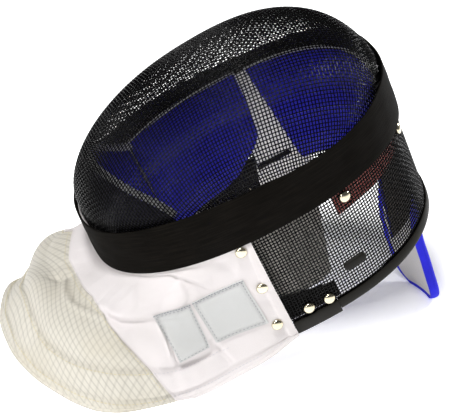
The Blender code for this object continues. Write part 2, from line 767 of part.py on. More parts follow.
def rest_on_floor(frame):
    """Flattens what reaches the floor, and puts the origin under the middle of the whole mask's box."""
    cutter = add_floor_cutter()
    for name in ("bib_cloth", "bib_front", "tongue_pad"):
        cut = bpy.data.objects[name].modifiers.new("flatten", "BOOLEAN")
        cut.operation = "DIFFERENCE"
        cut.solver = "EXACT"
        cut.object = cutter
    bpy.context.view_layer.update()
    corners = []
    for obj in bpy.data.objects:
        if obj.type == "MESH" and obj is not cutter:
            corners += [obj.matrix_world @ vertex.co for vertex in obj.data.vertices]
    for axis in (0, 1):
        values = [corner[axis] for corner in corners]
        frame.location[axis] -= (min(values) + max(values)) / 2


def build():
    clear_scene()
    frame = bpy.data.objects.new("mask_frame", None)
    bpy.context.collection.objects.link(frame)
    frame.rotation_euler = (0, -REST_ANGLE, 0)
    frame.location = (0, 0, REST_HEIGHT - SINK)

    wire = make_material("black_wire_mesh", (0.018, 0.018, 0.020), 0.38, 0.6)
    tape = make_material("band_tape", (0.016, 0.014, 0.013), 0.82)
    plastic = make_material("trim_plastic", (0.045, 0.046, 0.042), 0.45)
    white = make_material("white_cloth", (0.86, 0.84, 0.87), 0.85)
    woven = make_material("conductive_cloth", (0.60, 0.61, 0.52), 0.70)
    grey = make_material("grey_cloth", (0.62, 0.65, 0.69), 0.80)
    nickel = make_material("nickel", (0.72, 0.68, 0.54), 0.22, 1.0)
    red = make_material("red_webbing", (0.42, 0.04, 0.05), 0.75)
    black = make_material("black_webbing", (0.020, 0.018, 0.018), 0.80)
    blue = make_material("blue_padding", (0.025, 0.025, 0.42), 0.75)
    lining = make_material("tongue_lining", (0.66, 0.64, 0.62), 0.75)

    build_face_mesh(wire)
    build_band(tape)
    build_side_mesh(wire)
    build_trim(plastic)
    build_bib_cloth(white)
    build_bib_front(woven)
    build_patches(grey)
    build_rivets(nickel)
    build_crown_strap(red)
    build_tabs(black)
    build_keepers(plastic)
    build_cheek_pads(blue)
    build_chin_pad(blue)
    build_crown_pad(blue)
    build_tongue(blue, lining)
    rest_on_floor(frame)


build()
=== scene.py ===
"""Looks of a fencing mask that lies at rest on its bib and its rear tongue.

Lengths are in metres. The mask has a frame of its own: U runs from chin to crown, V to the wearer's right and
W forward out of the face, and U = V = W = 0 is the middle of the band's front edge. A turn is a place around
the mask: 0 is the crown, 0.25 the wearer's left, 0.5 the chin, 0.75 the right. A depth runs back from the
band's front edge, and a negative depth is a height on the domed face. An inset runs inwards from the band.
"""

import logging
import math
from dataclasses import dataclass, field
from enum import Enum
from typing import Sequence

import bmesh
import bpy
import numpy as np
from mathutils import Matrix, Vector


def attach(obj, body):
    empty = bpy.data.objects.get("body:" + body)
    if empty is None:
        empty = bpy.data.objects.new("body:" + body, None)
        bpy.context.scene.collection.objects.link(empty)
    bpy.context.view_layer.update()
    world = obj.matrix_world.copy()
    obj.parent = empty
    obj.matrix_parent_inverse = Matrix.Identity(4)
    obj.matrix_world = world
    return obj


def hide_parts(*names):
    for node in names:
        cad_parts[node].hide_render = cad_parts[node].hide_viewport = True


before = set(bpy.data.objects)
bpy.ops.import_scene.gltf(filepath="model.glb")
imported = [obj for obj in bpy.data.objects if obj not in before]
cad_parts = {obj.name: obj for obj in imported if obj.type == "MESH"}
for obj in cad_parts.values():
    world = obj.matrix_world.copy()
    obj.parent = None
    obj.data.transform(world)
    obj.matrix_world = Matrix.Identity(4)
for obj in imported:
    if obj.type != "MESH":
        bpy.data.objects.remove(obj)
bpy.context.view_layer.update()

LOG = logging.getLogger("fencing_mask")

Array = np.ndarray
Colour = tuple[float, float, float]
Place = tuple[float, float]
Socket = bpy.types.NodeSocket
Value = Socket | float
Tree = bpy.types.NodeTree
Node = bpy.types.Node
Mesh = bpy.types.Mesh
Piece = bpy.types.Object
Material = bpy.types.Material


# --- Shape of the mask ---


def spline(points: Array, place: Array) -> Array:
    """Points on a smooth curve through evenly numbered points.

    Args:
        points: The curve's points, (count, 3).
        place: Places from 0 to count less one, of any shape.

    Returns:
        One point for each place.
    """
    ends = np.concatenate([[2 * points[0] - points[1]], points, [2 * points[-1] - points[-2]]])
    first = np.clip(np.floor(place).astype(int), 0, len(points) - 2)
    x = (place - first)[..., None]
    a, b, c, d = (ends[first + k] for k in range(4))
    return b + 0.5 * x * (c - a + x * (2 * a - 5 * b + 4 * c - d + x * (3 * (b - c) + d - a)))


def unit(vectors: Array) -> Array:
    """The vectors at a length of one."""
    return vectors / np.maximum(np.linalg.norm(vectors, axis=-1, keepdims=True), 1e-9)


def smooth(x: Array) -> Array:
    """A soft step from 0 to 1 as x goes from 0 to 1."""
    x = np.clip(x, 0, 1)
    return x * x * (3 - 2 * x)


@dataclass
class MaskForm:
    """The surfaces that every piece of the mask is laid on."""

    rest_angle: float = math.radians(24.5)
    origin: tuple[float, float, float] = (-0.0044052377, -0.0028246716, 0.2052000016)
    half_height: float = 0.1483
    half_width: float = 0.1110
    oval_power: float = 2.31
    crown_widening: float = 0.064
    dome_height: float = 0.065
    dome_power: float = 2.6
    dome_rounding: float = 1.52
    dome_shift: float = 0.018
    band_width: float = 0.0499
    side_depth: float = 0.1540
    crown_depth: float = 0.1458
    crown_taper: float = 0.050
    chin_taper: float = 0.024
    cloth_inset: float = 0.0031
    wire_outer: float = 0.0045
    wire_inner: float = 0.0065
    liner_outer: float = 0.0069
    band_front: tuple[Place, ...] = (
        (0.0, 0.0035), (0.07, 0.0035), (0.11, 0.0060), (0.15, 0.0086), (0.19, 0.0092), (0.23, 0.0072),
        (0.27, 0.0048), (0.32, 0.0032), (0.38, 0.0038), (0.44, 0.0068), (0.5, 0.0076),
    )
    samples: int = 2048
    loop: Array = field(init=False)
    normals: Array = field(init=False)
    around: float = field(init=False)

    def __post_init__(self) -> None:
        """Lays out the oval evenly along its own length."""
        angles = np.linspace(0, 2 * math.pi, 8 * self.samples + 1)
        cos, sin = np.cos(angles), -np.sin(angles)
        u = self.half_height * np.sign(cos) * np.abs(cos) ** (2 / self.oval_power)
        v = self.half_width * np.sign(sin) * np.abs(sin) ** (2 / self.oval_power)
        v *= 1 + self.crown_widening * u / self.half_height
        lengths = np.concatenate([[0], np.cumsum(np.hypot(np.diff(u), np.diff(v)))])
        even = np.linspace(0, lengths[-1], self.samples + 1)[:-1]
        self.around = float(lengths[-1])
        self.loop = np.stack([np.interp(even, lengths, u), np.interp(even, lengths, v)], axis=1)
        along = np.roll(self.loop, -1, axis=0) - np.roll(self.loop, 1, axis=0)
        self.normals = unit(np.stack([-along[:, 1], along[:, 0]], axis=1))

    def oval(self, turn: Array, inset: Array) -> tuple[Array, Array]:
        """(u, v) on the oval drawn in by the inset.

        Args:
            turn: Places around the mask.
            inset: Distances inwards from the band's outer face.

        Returns:
            The two coordinates.
        """
        place = (turn % 1.0) * self.samples
        first = np.floor(place).astype(int) % self.samples
        share = (place - np.floor(place))[..., None]
        second = (first + 1) % self.samples
        point, normal = (part[first] * (1 - share) + part[second] * share for part in (self.loop, self.normals))
        point = point - inset[..., None] * normal
        return point[..., 0], point[..., 1]

    def turn_of(self, u: float) -> float:
        """The turn on the wearer's left side where the oval has this u."""
        half = self.samples // 2
        return float(np.interp(-u, -self.loop[: half + 1, 0], np.arange(half + 1) / self.samples))

    def rear_depth(self, turn: Array) -> Array:
        """Depth of the side wall's rear edge."""
        crownness = np.clip((self.oval(turn, np.zeros_like(turn))[0] / self.half_height + 0.1) / 1.1, 0, 1) ** 2
        return self.side_depth + (self.crown_depth - self.side_depth) * crownness

    def front_edge(self, turn: Array) -> Array:
        """Depth of the band's front edge."""
        nearby = (turn[..., None] + np.linspace(-0.015, 0.015, 7)) % 1.0
        return np.interp(np.minimum(nearby, 1 - nearby), *zip(*self.band_front)).mean(axis=-1)

    def wall(self, turn: Array, depth: Array, inset: Array) -> Array:
        """Points of the domed face for negative depths, else of the band and the side wall.

        Args:
            turn: Places around the mask.
            depth: Depths behind the band's front edge.
            inset: Distances inwards from the band's outer face.

        Returns:
            (..., 3) points in the mask's own frame.
        """
        turn, depth, inset = np.broadcast_arrays(*(np.asarray(x, float) for x in (turn, depth, inset)))
        u, v = self.oval(turn, inset)
        drawn = 1 - self.chin_taper * np.clip(1 - np.maximum(depth, 0) / self.band_width, 0, 1)
        u = np.where(u < 0, u * drawn, u)
        height = np.clip(-depth / self.dome_height, 0, 1)
        share = (1 - height**self.dome_rounding) ** (1 / self.dome_power)
        flat = 1 - (inset - self.wire_outer) / self.dome_height
        dome = np.stack([u * share + self.dome_shift * (1 - share**2), v * share, -depth * flat], axis=-1)
        tapered = np.where(u > 0, u * (1 - self.crown_taper * depth / self.crown_depth), u)
        side = np.stack([tapered, v, -depth], axis=-1)
        return np.where((depth < 0)[..., None], dome, side)

    def outward(self, turn: Array, depth: Array, inset: Array) -> Array:
        """Unit vectors out of the wall, in the mask's own frame.

        Args:
            turn: Places around the mask.
            depth: Depths behind the band's front edge.
            inset: Distances inwards.

        Returns:
            (..., 3) unit vectors.
        """
        step = 0.0015
        across = self.wall(turn + 0.002, depth, inset) - self.wall(turn - 0.002, depth, inset)
        back = self.wall(turn, depth + step, inset) - self.wall(turn, depth - step, inset)
        return unit(np.cross(across, back))

    def place(self, points: Array) -> Array:
        """Points of the mask's own frame, moved to where the mask rests."""
        cos, sin = math.cos(self.rest_angle), math.sin(self.rest_angle)
        u, v, w = (points[..., k] for k in range(3))
        return np.stack([u * cos - w * sin, v, u * sin + w * cos], axis=-1) + self.origin

    def at(self, turn: Array, depth: Array, inset: Array) -> Array:
        """Points of the wall where the mask rests."""
        return self.place(self.wall(turn, depth, inset))

    def way(self, directions: Array) -> Array:
        """Directions of the mask's own frame, turned as the mask rests."""
        return self.place(directions) - self.place(np.zeros(3))

    def flat(self, turn: Array, depth: Array) -> Array:
        """Places on the wall unrolled, in metres."""
        return np.stack([turn * self.around, depth], axis=-1)


@dataclass(frozen=True)
class Fold:
    """A crease or a swell of cloth along a line of (station, row) places that runs towards the left hem."""

    line: tuple[Place, ...]
    to_rim: float
    to_band: float
    height: float


@dataclass
class BibForm:
    """The bib's cloth. Stations run from 0 at the left hem by 1 at the chin to 2, and rows from the tuck to the rim."""

    mask: MaskForm
    hem_u: float = -0.032
    tuck: float = 0.0135
    emerges: float = 0.0505
    thickness: float = 0.0016
    emerge_row: float = 0.20
    crease_row: float = 0.45
    seam_row: float = 0.80
    welt_row: float = 0.945
    body_swell: float = 0.0048
    pattern_radius: float = 0.16
    pattern_turn: float = math.radians(105)
    row_length: float = 0.13
    # each row holds (u, width, w) in millimetres on the neck crease, the curved seam and the rim
    stations: tuple = (
        ((-32, 105.0, -94), (-32, 105.0, -146), (-32, 105.0, -158)),
        ((-80, 97.0, -89), (-80, 102.5, -135), (-76.5, 103.5, -164.5)),
        ((-125, 93.5, -82), (-137, 107.0, -123), (-146, 102.3, -159.3)),
        ((-161, 79.6, -63), (-190, 99.0, -93), (-202.5, 101.0, -133.6)),
        ((-183, 46.4, -54), (-221, 59.0, -72), (-242.7, 57.0, -97)),
        ((-184, 0.0, -53), (-221, 0.0, -54), (-252.0, 0.0, -73)),
    )
    right_front: tuple = (
        (4, ((-183, 46.4, -54), (-218, 58.5, -74), (-232.5, 70.5, -80))),
        (3, ((-161, 79.6, -63), (-188, 102.5, -86), (-197, 116.0, -125))),
    )
    panel_line: tuple[Place, ...] = (
        (0.415, 1.0), (0.445, 0.885), (0.476, 0.77), (0.512, 0.66), (0.565, 0.55), (0.638, 0.45),
        (0.690, 0.415), (0.760, 0.385), (0.840, 0.380), (0.930, 0.380), (1.0, 0.383), (1.074, 0.382),
        (1.142, 0.3625), (1.204, 0.355), (1.30, 0.360), (1.362, 0.45), (1.435, 0.55), (1.488, 0.66),
        (1.524, 0.77), (1.555, 0.885), (1.585, 1.0),
    )
    fold_gain: float = 1.35
    # lines in thousandths of a station and a row, widths and heights in millimetres
    folds: tuple[Fold, ...] = (
        # overhang above the white cloth's neck crease, and the crease under it
        Fold(((700, 400), (645, 408), (608, 430), (562, 443), (508, 436), (420, 446)), 3, 12, 2.8),
        Fold(((700, 437), (645, 445), (608, 465), (562, 478), (508, 470), (360, 465)), 2.4, 2.4, -2),
        # the panel's neck crease and its soft dents
        Fold(((1060, 385), (975, 412), (893, 432), (823, 443), (763, 440), (660, 440)), 2.6, 10, -3.4),
        Fold(((1060, 425), (975, 450), (893, 470), (823, 480), (720, 470)), 11, 3, 1.8),
        Fold(((1030, 560), (1008, 495), (993, 453), (1018, 400)), 6, 9, -4.2),
        Fold(((1085, 422), (1008, 463), (930, 488)), 8, 8, -2.2),
        # long wrinkle under the band and the edge that leaves it
        Fold(((570, 222), (495, 222), (425, 228), (383, 253), (338, 275), (288, 305), (220, 365)), 1.6, 6.5, 2),
        Fold(((570, 236), (495, 236), (425, 244), (383, 269), (338, 291), (288, 321), (220, 381)), 2, 1.8, -1.6),
        Fold(((383, 263), (355, 307), (333, 345), (312, 390)), 13, 3, 2.6),
        Fold(((370, 275), (307, 330), (255, 395)), 6, 6, 1.2),
        # tucks beside and below the patches
        Fold(((414, 450), (402, 520), (398, 600), (396, 680), (394, 775)), 2, 1.8, -2.2),
        Fold(((424, 470), (412, 540), (408, 620), (406, 700), (400, 785)), 1.6, 1.6, 1.3),
        Fold(((268, 690), (264, 760), (260, 818), (250, 930)), 6, 2.2, -2),
        Fold(((400, 780), (350, 800), (310, 800), (260, 790)), 3, 8, -2),
        # slow hollows of the white cloth
        Fold(((1123, 310), (1030, 307), (927, 302), (823, 302)), 6, 6, -2.2),
        Fold(((725, 370), (655, 393), (588, 400), (530, 390)), 5, 8, -1.6),
        Fold(((545, 593), (512, 653), (480, 720), (448, 772)), 8, 12, -2.4),
        Fold(((600, 300), (560, 350), (530, 400)), 9, 4, 1.6),
        Fold(((200, 250), (140, 300), (100, 350)), 5, 5, -1.2),
        # the right side
        Fold(((1660, 440), (1500, 455), (1350, 450)), 3, 10, -2.8),
        Fold(((1640, 440), (1560, 360), (1450, 270)), 3, 8, -2.4),
        Fold(((1820, 550), (1800, 420), (1750, 300)), 9, 4, -1.8),
        Fold(((1800, 860), (1660, 800), (1550, 720)), 6, 9, -2),
    )
    columns: list[Array] = field(init=False)

    def __post_init__(self) -> None:
        """Mirrors the left half's stations and sets the higher, wider lip on the right."""
        hem_turn = self.mask.turn_of(self.hem_u)
        _, hem_v = self.mask.oval(np.array(hem_turn), np.array(self.mask.cloth_inset))
        self.columns = []
        for column in range(3):
            left = [np.array(station[column]) / 1000 for station in self.stations]
            left[0][1] = -float(hem_v)
            right = list(left[:-1])
            for number, station in self.right_front:
                right[number] = np.array(station[column]) / 1000
            mirror = np.array((1, -1, 1))
            self.columns.append(np.array([point * mirror for point in left] + right[::-1]))

    def turn(self, station: Array) -> Array:
        """The turn round the band that a station hangs from."""
        hem = self.mask.turn_of(self.hem_u)
        return hem + (0.5 - hem) * station

    def hidden_depth(self, row: Array) -> Array:
        """Depth of the cloth's rows under the band."""
        return self.tuck + (self.emerges - self.tuck) * np.clip(row / self.emerge_row, 0, 1)

    def middle(self, station: Array, row: Array) -> Array:
        """The middle of the smooth cloth, before its folds.

        Args:
            station: Stations.
            row: Rows.

        Returns:
            (..., 3) points in the mask's own frame.
        """
        turn = self.turn(station)
        tucked, emerging = (
            self.mask.wall(turn, depth, self.mask.cloth_inset) for depth in (self.hidden_depth(row), self.emerges)
        )
        place = station * (len(self.stations) - 1)
        points = [emerging, *(spline(column, place) for column in self.columns)]
        knots = (self.emerge_row, self.crease_row, self.seam_row, 1.0)
        slopes = [np.broadcast_to(np.array((0.0, 0.0, -0.10)), emerging.shape)]
        slopes += [(points[k + 1] - points[k - 1]) / (knots[k + 1] - knots[k - 1]) for k in (1, 2)]
        slopes.append((points[3] - points[2]) / (knots[3] - knots[2]))
        result = tucked
        for k in range(3):
            span = knots[k + 1] - knots[k]
            x = ((row - knots[k]) / span)[..., None]
            piece = (
                (2 * x**3 - 3 * x**2 + 1) * points[k]
                + (x**3 - 2 * x**2 + x) * span * slopes[k]
                + (3 * x**2 - 2 * x**3) * points[k + 1]
                + (x**3 - x**2) * span * slopes[k + 1]
            )
            result = np.where((row > knots[k])[..., None], piece, result)
        return result

    def flat(self, station: Array, row: Array) -> Array:
        """Places on the flat crescent that the bib was cut from, in metres."""
        radius = self.pattern_radius + self.row_length * (row - self.crease_row)
        angle = (1 - station) * self.pattern_turn
        return np.stack([radius * np.sin(angle), radius * np.cos(angle)], axis=-1)

    def under(self, spots: Array, station: Array, row: Array) -> tuple[Array, Array]:
        """Stations and rows of the cloth at (u, w) spots seen from the side.

        Args:
            spots: (..., 2) places in the mask's own frame.
            station: First guess of the stations.
            row: First guess of the rows.

        Returns:
            The stations and the rows.
        """
        step = 0.004
        for _ in range(8):
            here, along, down = (
                self.middle(station + ds, row + dr)[..., (0, 2)] for ds, dr in ((0, 0), (step, 0), (0, step))
            )
            a, b, miss = (along - here) / step, (down - here) / step, spots - here
            area = a[..., 0] * b[..., 1] - a[..., 1] * b[..., 0]
            station = station + (miss[..., 0] * b[..., 1] - miss[..., 1] * b[..., 0]) / area
            row = row + (a[..., 0] * miss[..., 1] - a[..., 1] * miss[..., 0]) / area
        return station, row

    def relief(self, station: Array, row: Array) -> Array:
        """Height of the folds, swells and puckers over the smooth cloth.

        Args:
            station: Stations.
            row: Rows.

        Returns:
            The heights.
        """
        here = self.flat(station, row)
        total = np.zeros(station.shape)
        for fold in self.folds:
            line = self.flat(*np.array(fold.line).T / 1000)
            nearest = np.full(station.shape, 1.0)
            place = np.zeros(station.shape)
            rimward = np.zeros(station.shape, bool)
            for k in range(len(line) - 1):
                side = line[k + 1] - line[k]
                share = np.clip(((here - line[k]) @ side) / (side @ side), 0, 1)
                away = here - line[k] - share[..., None] * side
                distance = np.linalg.norm(away, axis=-1)
                closer = distance < nearest
                nearest = np.where(closer, distance, nearest)
                place = np.where(closer, (k + share) / (len(line) - 1), place)
                rimward = np.where(closer, side[0] * away[..., 1] > side[1] * away[..., 0], rimward)
            ends = 0.15 + 0.85 * np.sin(math.pi * np.clip(place, 0, 1)) ** 0.6
            width = np.where(rimward, fold.to_rim, fold.to_band) / 1000
            total += self.fold_gain * fold.height / 1000 * ends * np.exp(-((nearest / width) ** 2))
        u, v = here[..., 0], here[..., 1]
        ripple = np.sin(61 * u + 34 * v) * np.sin(47 * v - 23 * u + 1.3) + 0.6 * np.sin(118 * u - 71 * v + 0.7)
        total += 0.00035 * ripple
        joined = smooth((station - 0.20) / 0.2) * smooth((1.80 - station) / 0.2)
        total += joined * self.body_swell * np.sin(math.pi * np.clip((row - 0.5) / (self.seam_row - 0.5), 0, 1))
        below = (row - self.seam_row) * self.row_length
        scallop = 1 + 0.25 * np.sin(station * 150)
        total += joined * (0.0010 * scallop * smooth((below + 0.0004) / 0.0012) * smooth((0.020 - below) / 0.012))
        total -= joined * 0.0016 * np.exp(-((below / np.where(below < 0, 0.0080, 0.0010)) ** 2))
        welt = (row - self.welt_row) * self.row_length
        total += 0.0009 * smooth(welt / 0.0012) - 0.0010 * np.exp(-((welt / 0.0014) ** 2))
        from_hem = np.minimum(station, 2 - station)
        pucker = np.exp(-((from_hem / 0.06) ** 2)) * np.sin(row * 29) * 0.0008
        hidden = smooth((row - self.emerge_row) / 0.05)
        return (total + pucker) * hidden

    def surface(self, station: Array, row: Array, rise: Array | float) -> Array:
        """Points this far outside the folded cloth's middle, in the mask's own frame.

        Args:
            station: Stations.
            row: Rows.
            rise: Heights outside the cloth's middle.

        Returns:
            (..., 3) points.
        """
        station, row = np.broadcast_arrays(np.asarray(station, float), np.asarray(row, float))
        step = 0.012
        across = self.middle(np.minimum(station + step, 2), row) - self.middle(np.maximum(station - step, 0), row)
        low, high = np.maximum(row - step, self.emerge_row), np.minimum(row + step, 1)
        down = self.middle(station, np.maximum(high, self.emerge_row + step)) - self.middle(station, low)
        normal = unit(np.cross(across, down))
        lifted = self.middle(station, row) + (rise + self.relief(station, row))[..., None] * normal
        hidden = self.mask.wall(self.turn(station), self.hidden_depth(row), self.mask.cloth_inset - rise)
        return np.where((row <= self.emerge_row)[..., None], hidden, lifted)

    def at(self, station: Array, row: Array, rise: Array | float) -> Array:
        """Points of the cloth where the mask rests, flattened where they would sink into the floor."""
        points = self.mask.place(self.surface(station, row, rise))
        points[..., 2] = np.maximum(points[..., 2], 0.0004)
        return points

    def panel_row(self, station: Array) -> Array:
        """The row where the white cloth ends at a station."""
        places, rows = zip(*self.panel_line)
        return np.interp(station, places, rows)


# --- Meshes ---


def add_piece(name: str, mesh: Mesh, material: Material | None = None) -> Piece:
    """Links a mesh as an object at the origin.

    Args:
        name: The object's name.
        mesh: Its mesh.
        material: Its material, where the mesh has none yet.

    Returns:
        The object.
    """
    if material is not None and not mesh.materials:
        mesh.materials.append(material)
    piece = bpy.data.objects.new(name, mesh)
    bpy.context.collection.objects.link(piece)
    return piece


def mesh_of(name: str, points: Array, faces: list, uv: Array | None = None, sharp: float = 40.0) -> Mesh:
    """A smooth mesh whose faces point outwards.

    Args:
        name: Name of the mesh.
        points: Its vertices.
        faces: Vertex numbers of each face.
        uv: A place on the cloth for each vertex, in metres.
        sharp: Degrees past which an edge stays sharp.

    Returns:
        The mesh, with a map named cloth where uv was given.
    """
    mesh = bpy.data.meshes.new(name)
    mesh.from_pydata(points.reshape(-1, 3).tolist(), [], faces)
    bm = bmesh.new()
    bm.from_mesh(mesh)
    bmesh.ops.recalc_face_normals(bm, faces=bm.faces)
    bm.to_mesh(mesh)
    bm.free()
    if uv is not None:
        corners = np.zeros(len(mesh.loops), np.int32)
        mesh.loops.foreach_get("vertex_index", corners)
        layer = mesh.uv_layers.new(name="cloth")
        layer.data.foreach_set("uv", uv.reshape(-1, 2)[corners].astype(np.float32).ravel())
    mesh.shade_smooth()
    mesh.set_sharp_from_angle(angle=math.radians(sharp))
    return mesh


def shell_faces(columns: int, rows: int) -> list:
    """Faces of a closed shell between an outer and an inner grid of columns by rows.

    Args:
        columns: Columns of each grid.
        rows: Rows of each grid.

    Returns:
        Vertex numbers of each face.
    """
    faces, count = [], columns * rows
    for i in range(columns - 1):
        k = i + 1
        for j in range(rows - 1):
            a, b, c, d = i * rows + j, k * rows + j, k * rows + j + 1, i * rows + j + 1
            faces += [(a, b, c, d), (d + count, c + count, b + count, a + count)]
        for j in (0, rows - 1):
            a, b = i * rows + j, k * rows + j
            faces.append((a, b, b + count, a + count))
    for i in (0, columns - 1):
        for j in range(rows - 1):
            a, b = i * rows + j, i * rows + j + 1
            faces.append((a, b, b + count, a + count))
    return faces


def shell(name: str, outer: Array, inner: Array, uv: Array | None = None, sharp: float = 60.0) -> Mesh:
    """A closed shell between two (columns, rows, 3) grids.

    Args:
        name: Name of the mesh.
        outer: The outer grid.
        inner: The inner grid.
        uv: A place on the cloth for each point of a grid.
        sharp: Degrees past which an edge stays sharp.

    Returns:
        The mesh.
    """
    columns, rows = outer.shape[:2]
    both = np.concatenate([outer.reshape(-1, 3), inner.reshape(-1, 3)])
    twice = None if uv is None else np.concatenate([uv.reshape(-1, 2)] * 2)
    return mesh_of(name, both, shell_faces(columns, rows), twice, sharp)


def shell_on(
    form: MaskForm | BibForm, name: str, first: Array, second: Array, high: Array, low: Array, sharp: float
) -> Mesh:
    """A closed shell between two heights over a form's surface, mapped on the form laid flat.

    Args:
        form: The form that it lies on.
        name: Name of the mesh.
        first: Turns or stations of its grid.
        second: Depths or rows of its grid.
        high: Insets or heights of its outer face.
        low: Those of its inner face.
        sharp: Degrees past which an edge stays sharp.

    Returns:
        The mesh.
    """
    return shell(name, form.at(first, second, high), form.at(first, second, low), form.flat(first, second), sharp)


def loft(name: str, sections: Array, wrap: bool, uv: Array | None = None, sharp: float = 40.0) -> Mesh:
    """A closed solid through (count, ring, 3) sections, capped at its ends where it doesn't wrap.

    Args:
        name: Name of the mesh.
        sections: The sections.
        wrap: Whether the last section joins the first.
        uv: A place on the cloth for each point.
        sharp: Degrees past which an edge stays sharp.

    Returns:
        The mesh.
    """
    count, ring = sections.shape[:2]
    faces = []
    for i in range(count if wrap else count - 1):
        k = (i + 1) % count
        for j in range(ring):
            m = (j + 1) % ring
            faces.append((i * ring + j, k * ring + j, k * ring + m, i * ring + m))
    if not wrap:
        faces.append(tuple(range(ring)))
        faces.append(tuple((count - 1) * ring + j for j in range(ring))[::-1])
    return mesh_of(name, sections, faces, uv, sharp)


def line_mesh(name: str, lines: Sequence[Array]) -> Mesh:
    """Lines as loose edges, for a geometry-nodes tree to follow.

    Args:
        name: Name of the mesh.
        lines: (count, 3) points of each line.

    Returns:
        The mesh.
    """
    points, edges, start = [], [], 0
    for line in lines:
        points += line.tolist()
        edges += [(start + k, start + k + 1) for k in range(len(line) - 1)]
        start += len(line)
    mesh = bpy.data.meshes.new(name)
    mesh.from_pydata(points, edges, [])
    return mesh


def joined(name: str, meshes: Sequence[Mesh]) -> Mesh:
    """One mesh of several that share their material slots.

    Args:
        name: Name of the mesh.
        meshes: The meshes, which are removed.

    Returns:
        The whole mesh.
    """
    bm = bmesh.new()
    for mesh in meshes:
        bm.from_mesh(mesh)
    whole = bpy.data.meshes.new(name)
    bm.to_mesh(whole)
    bm.free()
    for material in meshes[0].materials:
        whole.materials.append(material)
    for mesh in meshes:
        bpy.data.meshes.remove(mesh)
    return whole


def grid(first: Array, second: Array) -> list[Array]:
    """Both values at every crossing, with the first along the rows."""
    return np.meshgrid(first, second, indexing="ij")


def read_points(mesh: Mesh) -> Array:
    """The mesh's vertices, (count, 3)."""
    points = np.zeros(len(mesh.vertices) * 3)
    mesh.vertices.foreach_get("co", points)
    return points.reshape(-1, 3)


def write_points(mesh: Mesh, points: Array) -> None:
    """Moves the mesh's vertices."""
    mesh.vertices.foreach_set("co", points.ravel())
    mesh.update()


def evaluated(piece: Piece) -> Mesh:
    """The piece's mesh with its modifiers applied. The piece itself is removed.

    Args:
        piece: The piece.

    Returns:
        The new mesh.
    """
    depsgraph = bpy.context.evaluated_depsgraph_get()
    mesh = bpy.data.meshes.new_from_object(piece.evaluated_get(depsgraph), depsgraph=depsgraph)
    old = piece.data
    bpy.data.objects.remove(piece)
    bpy.data.meshes.remove(old)
    return mesh


# --- Geometry nodes ---


@dataclass(frozen=True)
class TreePlan:
    """A geometry-nodes tree as a plan.

    Its inputs have a kind each, and so have its nodes, by label. The settings are properties or socket values of
    a node. A link runs from "label.Output" to "label.Input". The tree's inputs are the node called start, and
    the finished shape goes to the node called real.
    """

    inputs: dict[str, str]
    nodes: dict[str, str]
    settings: dict[str, dict[str, object]]
    links: tuple[str, ...]


class NodeMaker(Enum):
    """The geometry-nodes trees that repeat or sweep a part."""

    # a round tube along every line
    SWEEP = TreePlan(
        {"Radius": "Float", "Sides": "Int"},
        {"path": "MeshToCurve", "ring": "CurvePrimitiveCircle", "tube": "CurveToMesh"},
        {"tube": {"Fill Caps": True}},
        (
            "start.Geometry > path.Mesh", "start.Sides > ring.Resolution", "start.Radius > ring.Radius",
            "path.Curve > tube.Curve", "ring.Curve > tube.Profile Curve", "tube.Mesh > real.Geometry",
        ),
    )
    # rounded stitches every Pitch along every line, each reaching half its length both ways
    STITCH = TreePlan(
        {"Pitch": "Float", "Reach": "Float", "Radius": "Float"},
        {
            "path": "MeshToCurve", "spots": "CurveToPoints", "ball": "MeshUVSphere",
            "aim": "FunctionNodeAlignRotationToVector", "size": "ShaderNodeCombineXYZ", "each": "InstanceOnPoints",
        },
        {"spots": {"mode": "LENGTH"}, "ball": {"Segments": 6, "Rings": 4, "Radius": 1.0}, "aim": {"axis": "Z"}},
        (
            "start.Geometry > path.Mesh", "path.Curve > spots.Curve", "start.Pitch > spots.Length",
            "spots.Points > each.Points", "ball.Mesh > each.Instance", "spots.Tangent > aim.Vector",
            "aim.Rotation > each.Rotation", "start.Radius > size.X", "start.Radius > size.Y", "start.Reach > size.Z",
            "size.Vector > each.Scale", "each.Instances > real.Geometry",
        ),
    )
    # a copy of the Stud object on every point, turned to the point's facing attribute
    STUD = TreePlan(
        {"Stud": "Object"},
        {
            "spots": "MeshToPoints", "model": "ObjectInfo", "each": "InstanceOnPoints",
            "facing": "InputNamedAttribute", "aim": "FunctionNodeAlignRotationToVector",
        },
        {"facing": {"data_type": "FLOAT_VECTOR", "Name": "facing"}, "aim": {"axis": "Z"}},
        (
            "start.Geometry > spots.Mesh", "start.Stud > model.Object", "spots.Points > each.Points",
            "model.Geometry > each.Instance", "facing.Attribute > aim.Vector", "aim.Rotation > each.Rotation",
            "each.Instances > real.Geometry",
        ),
    )


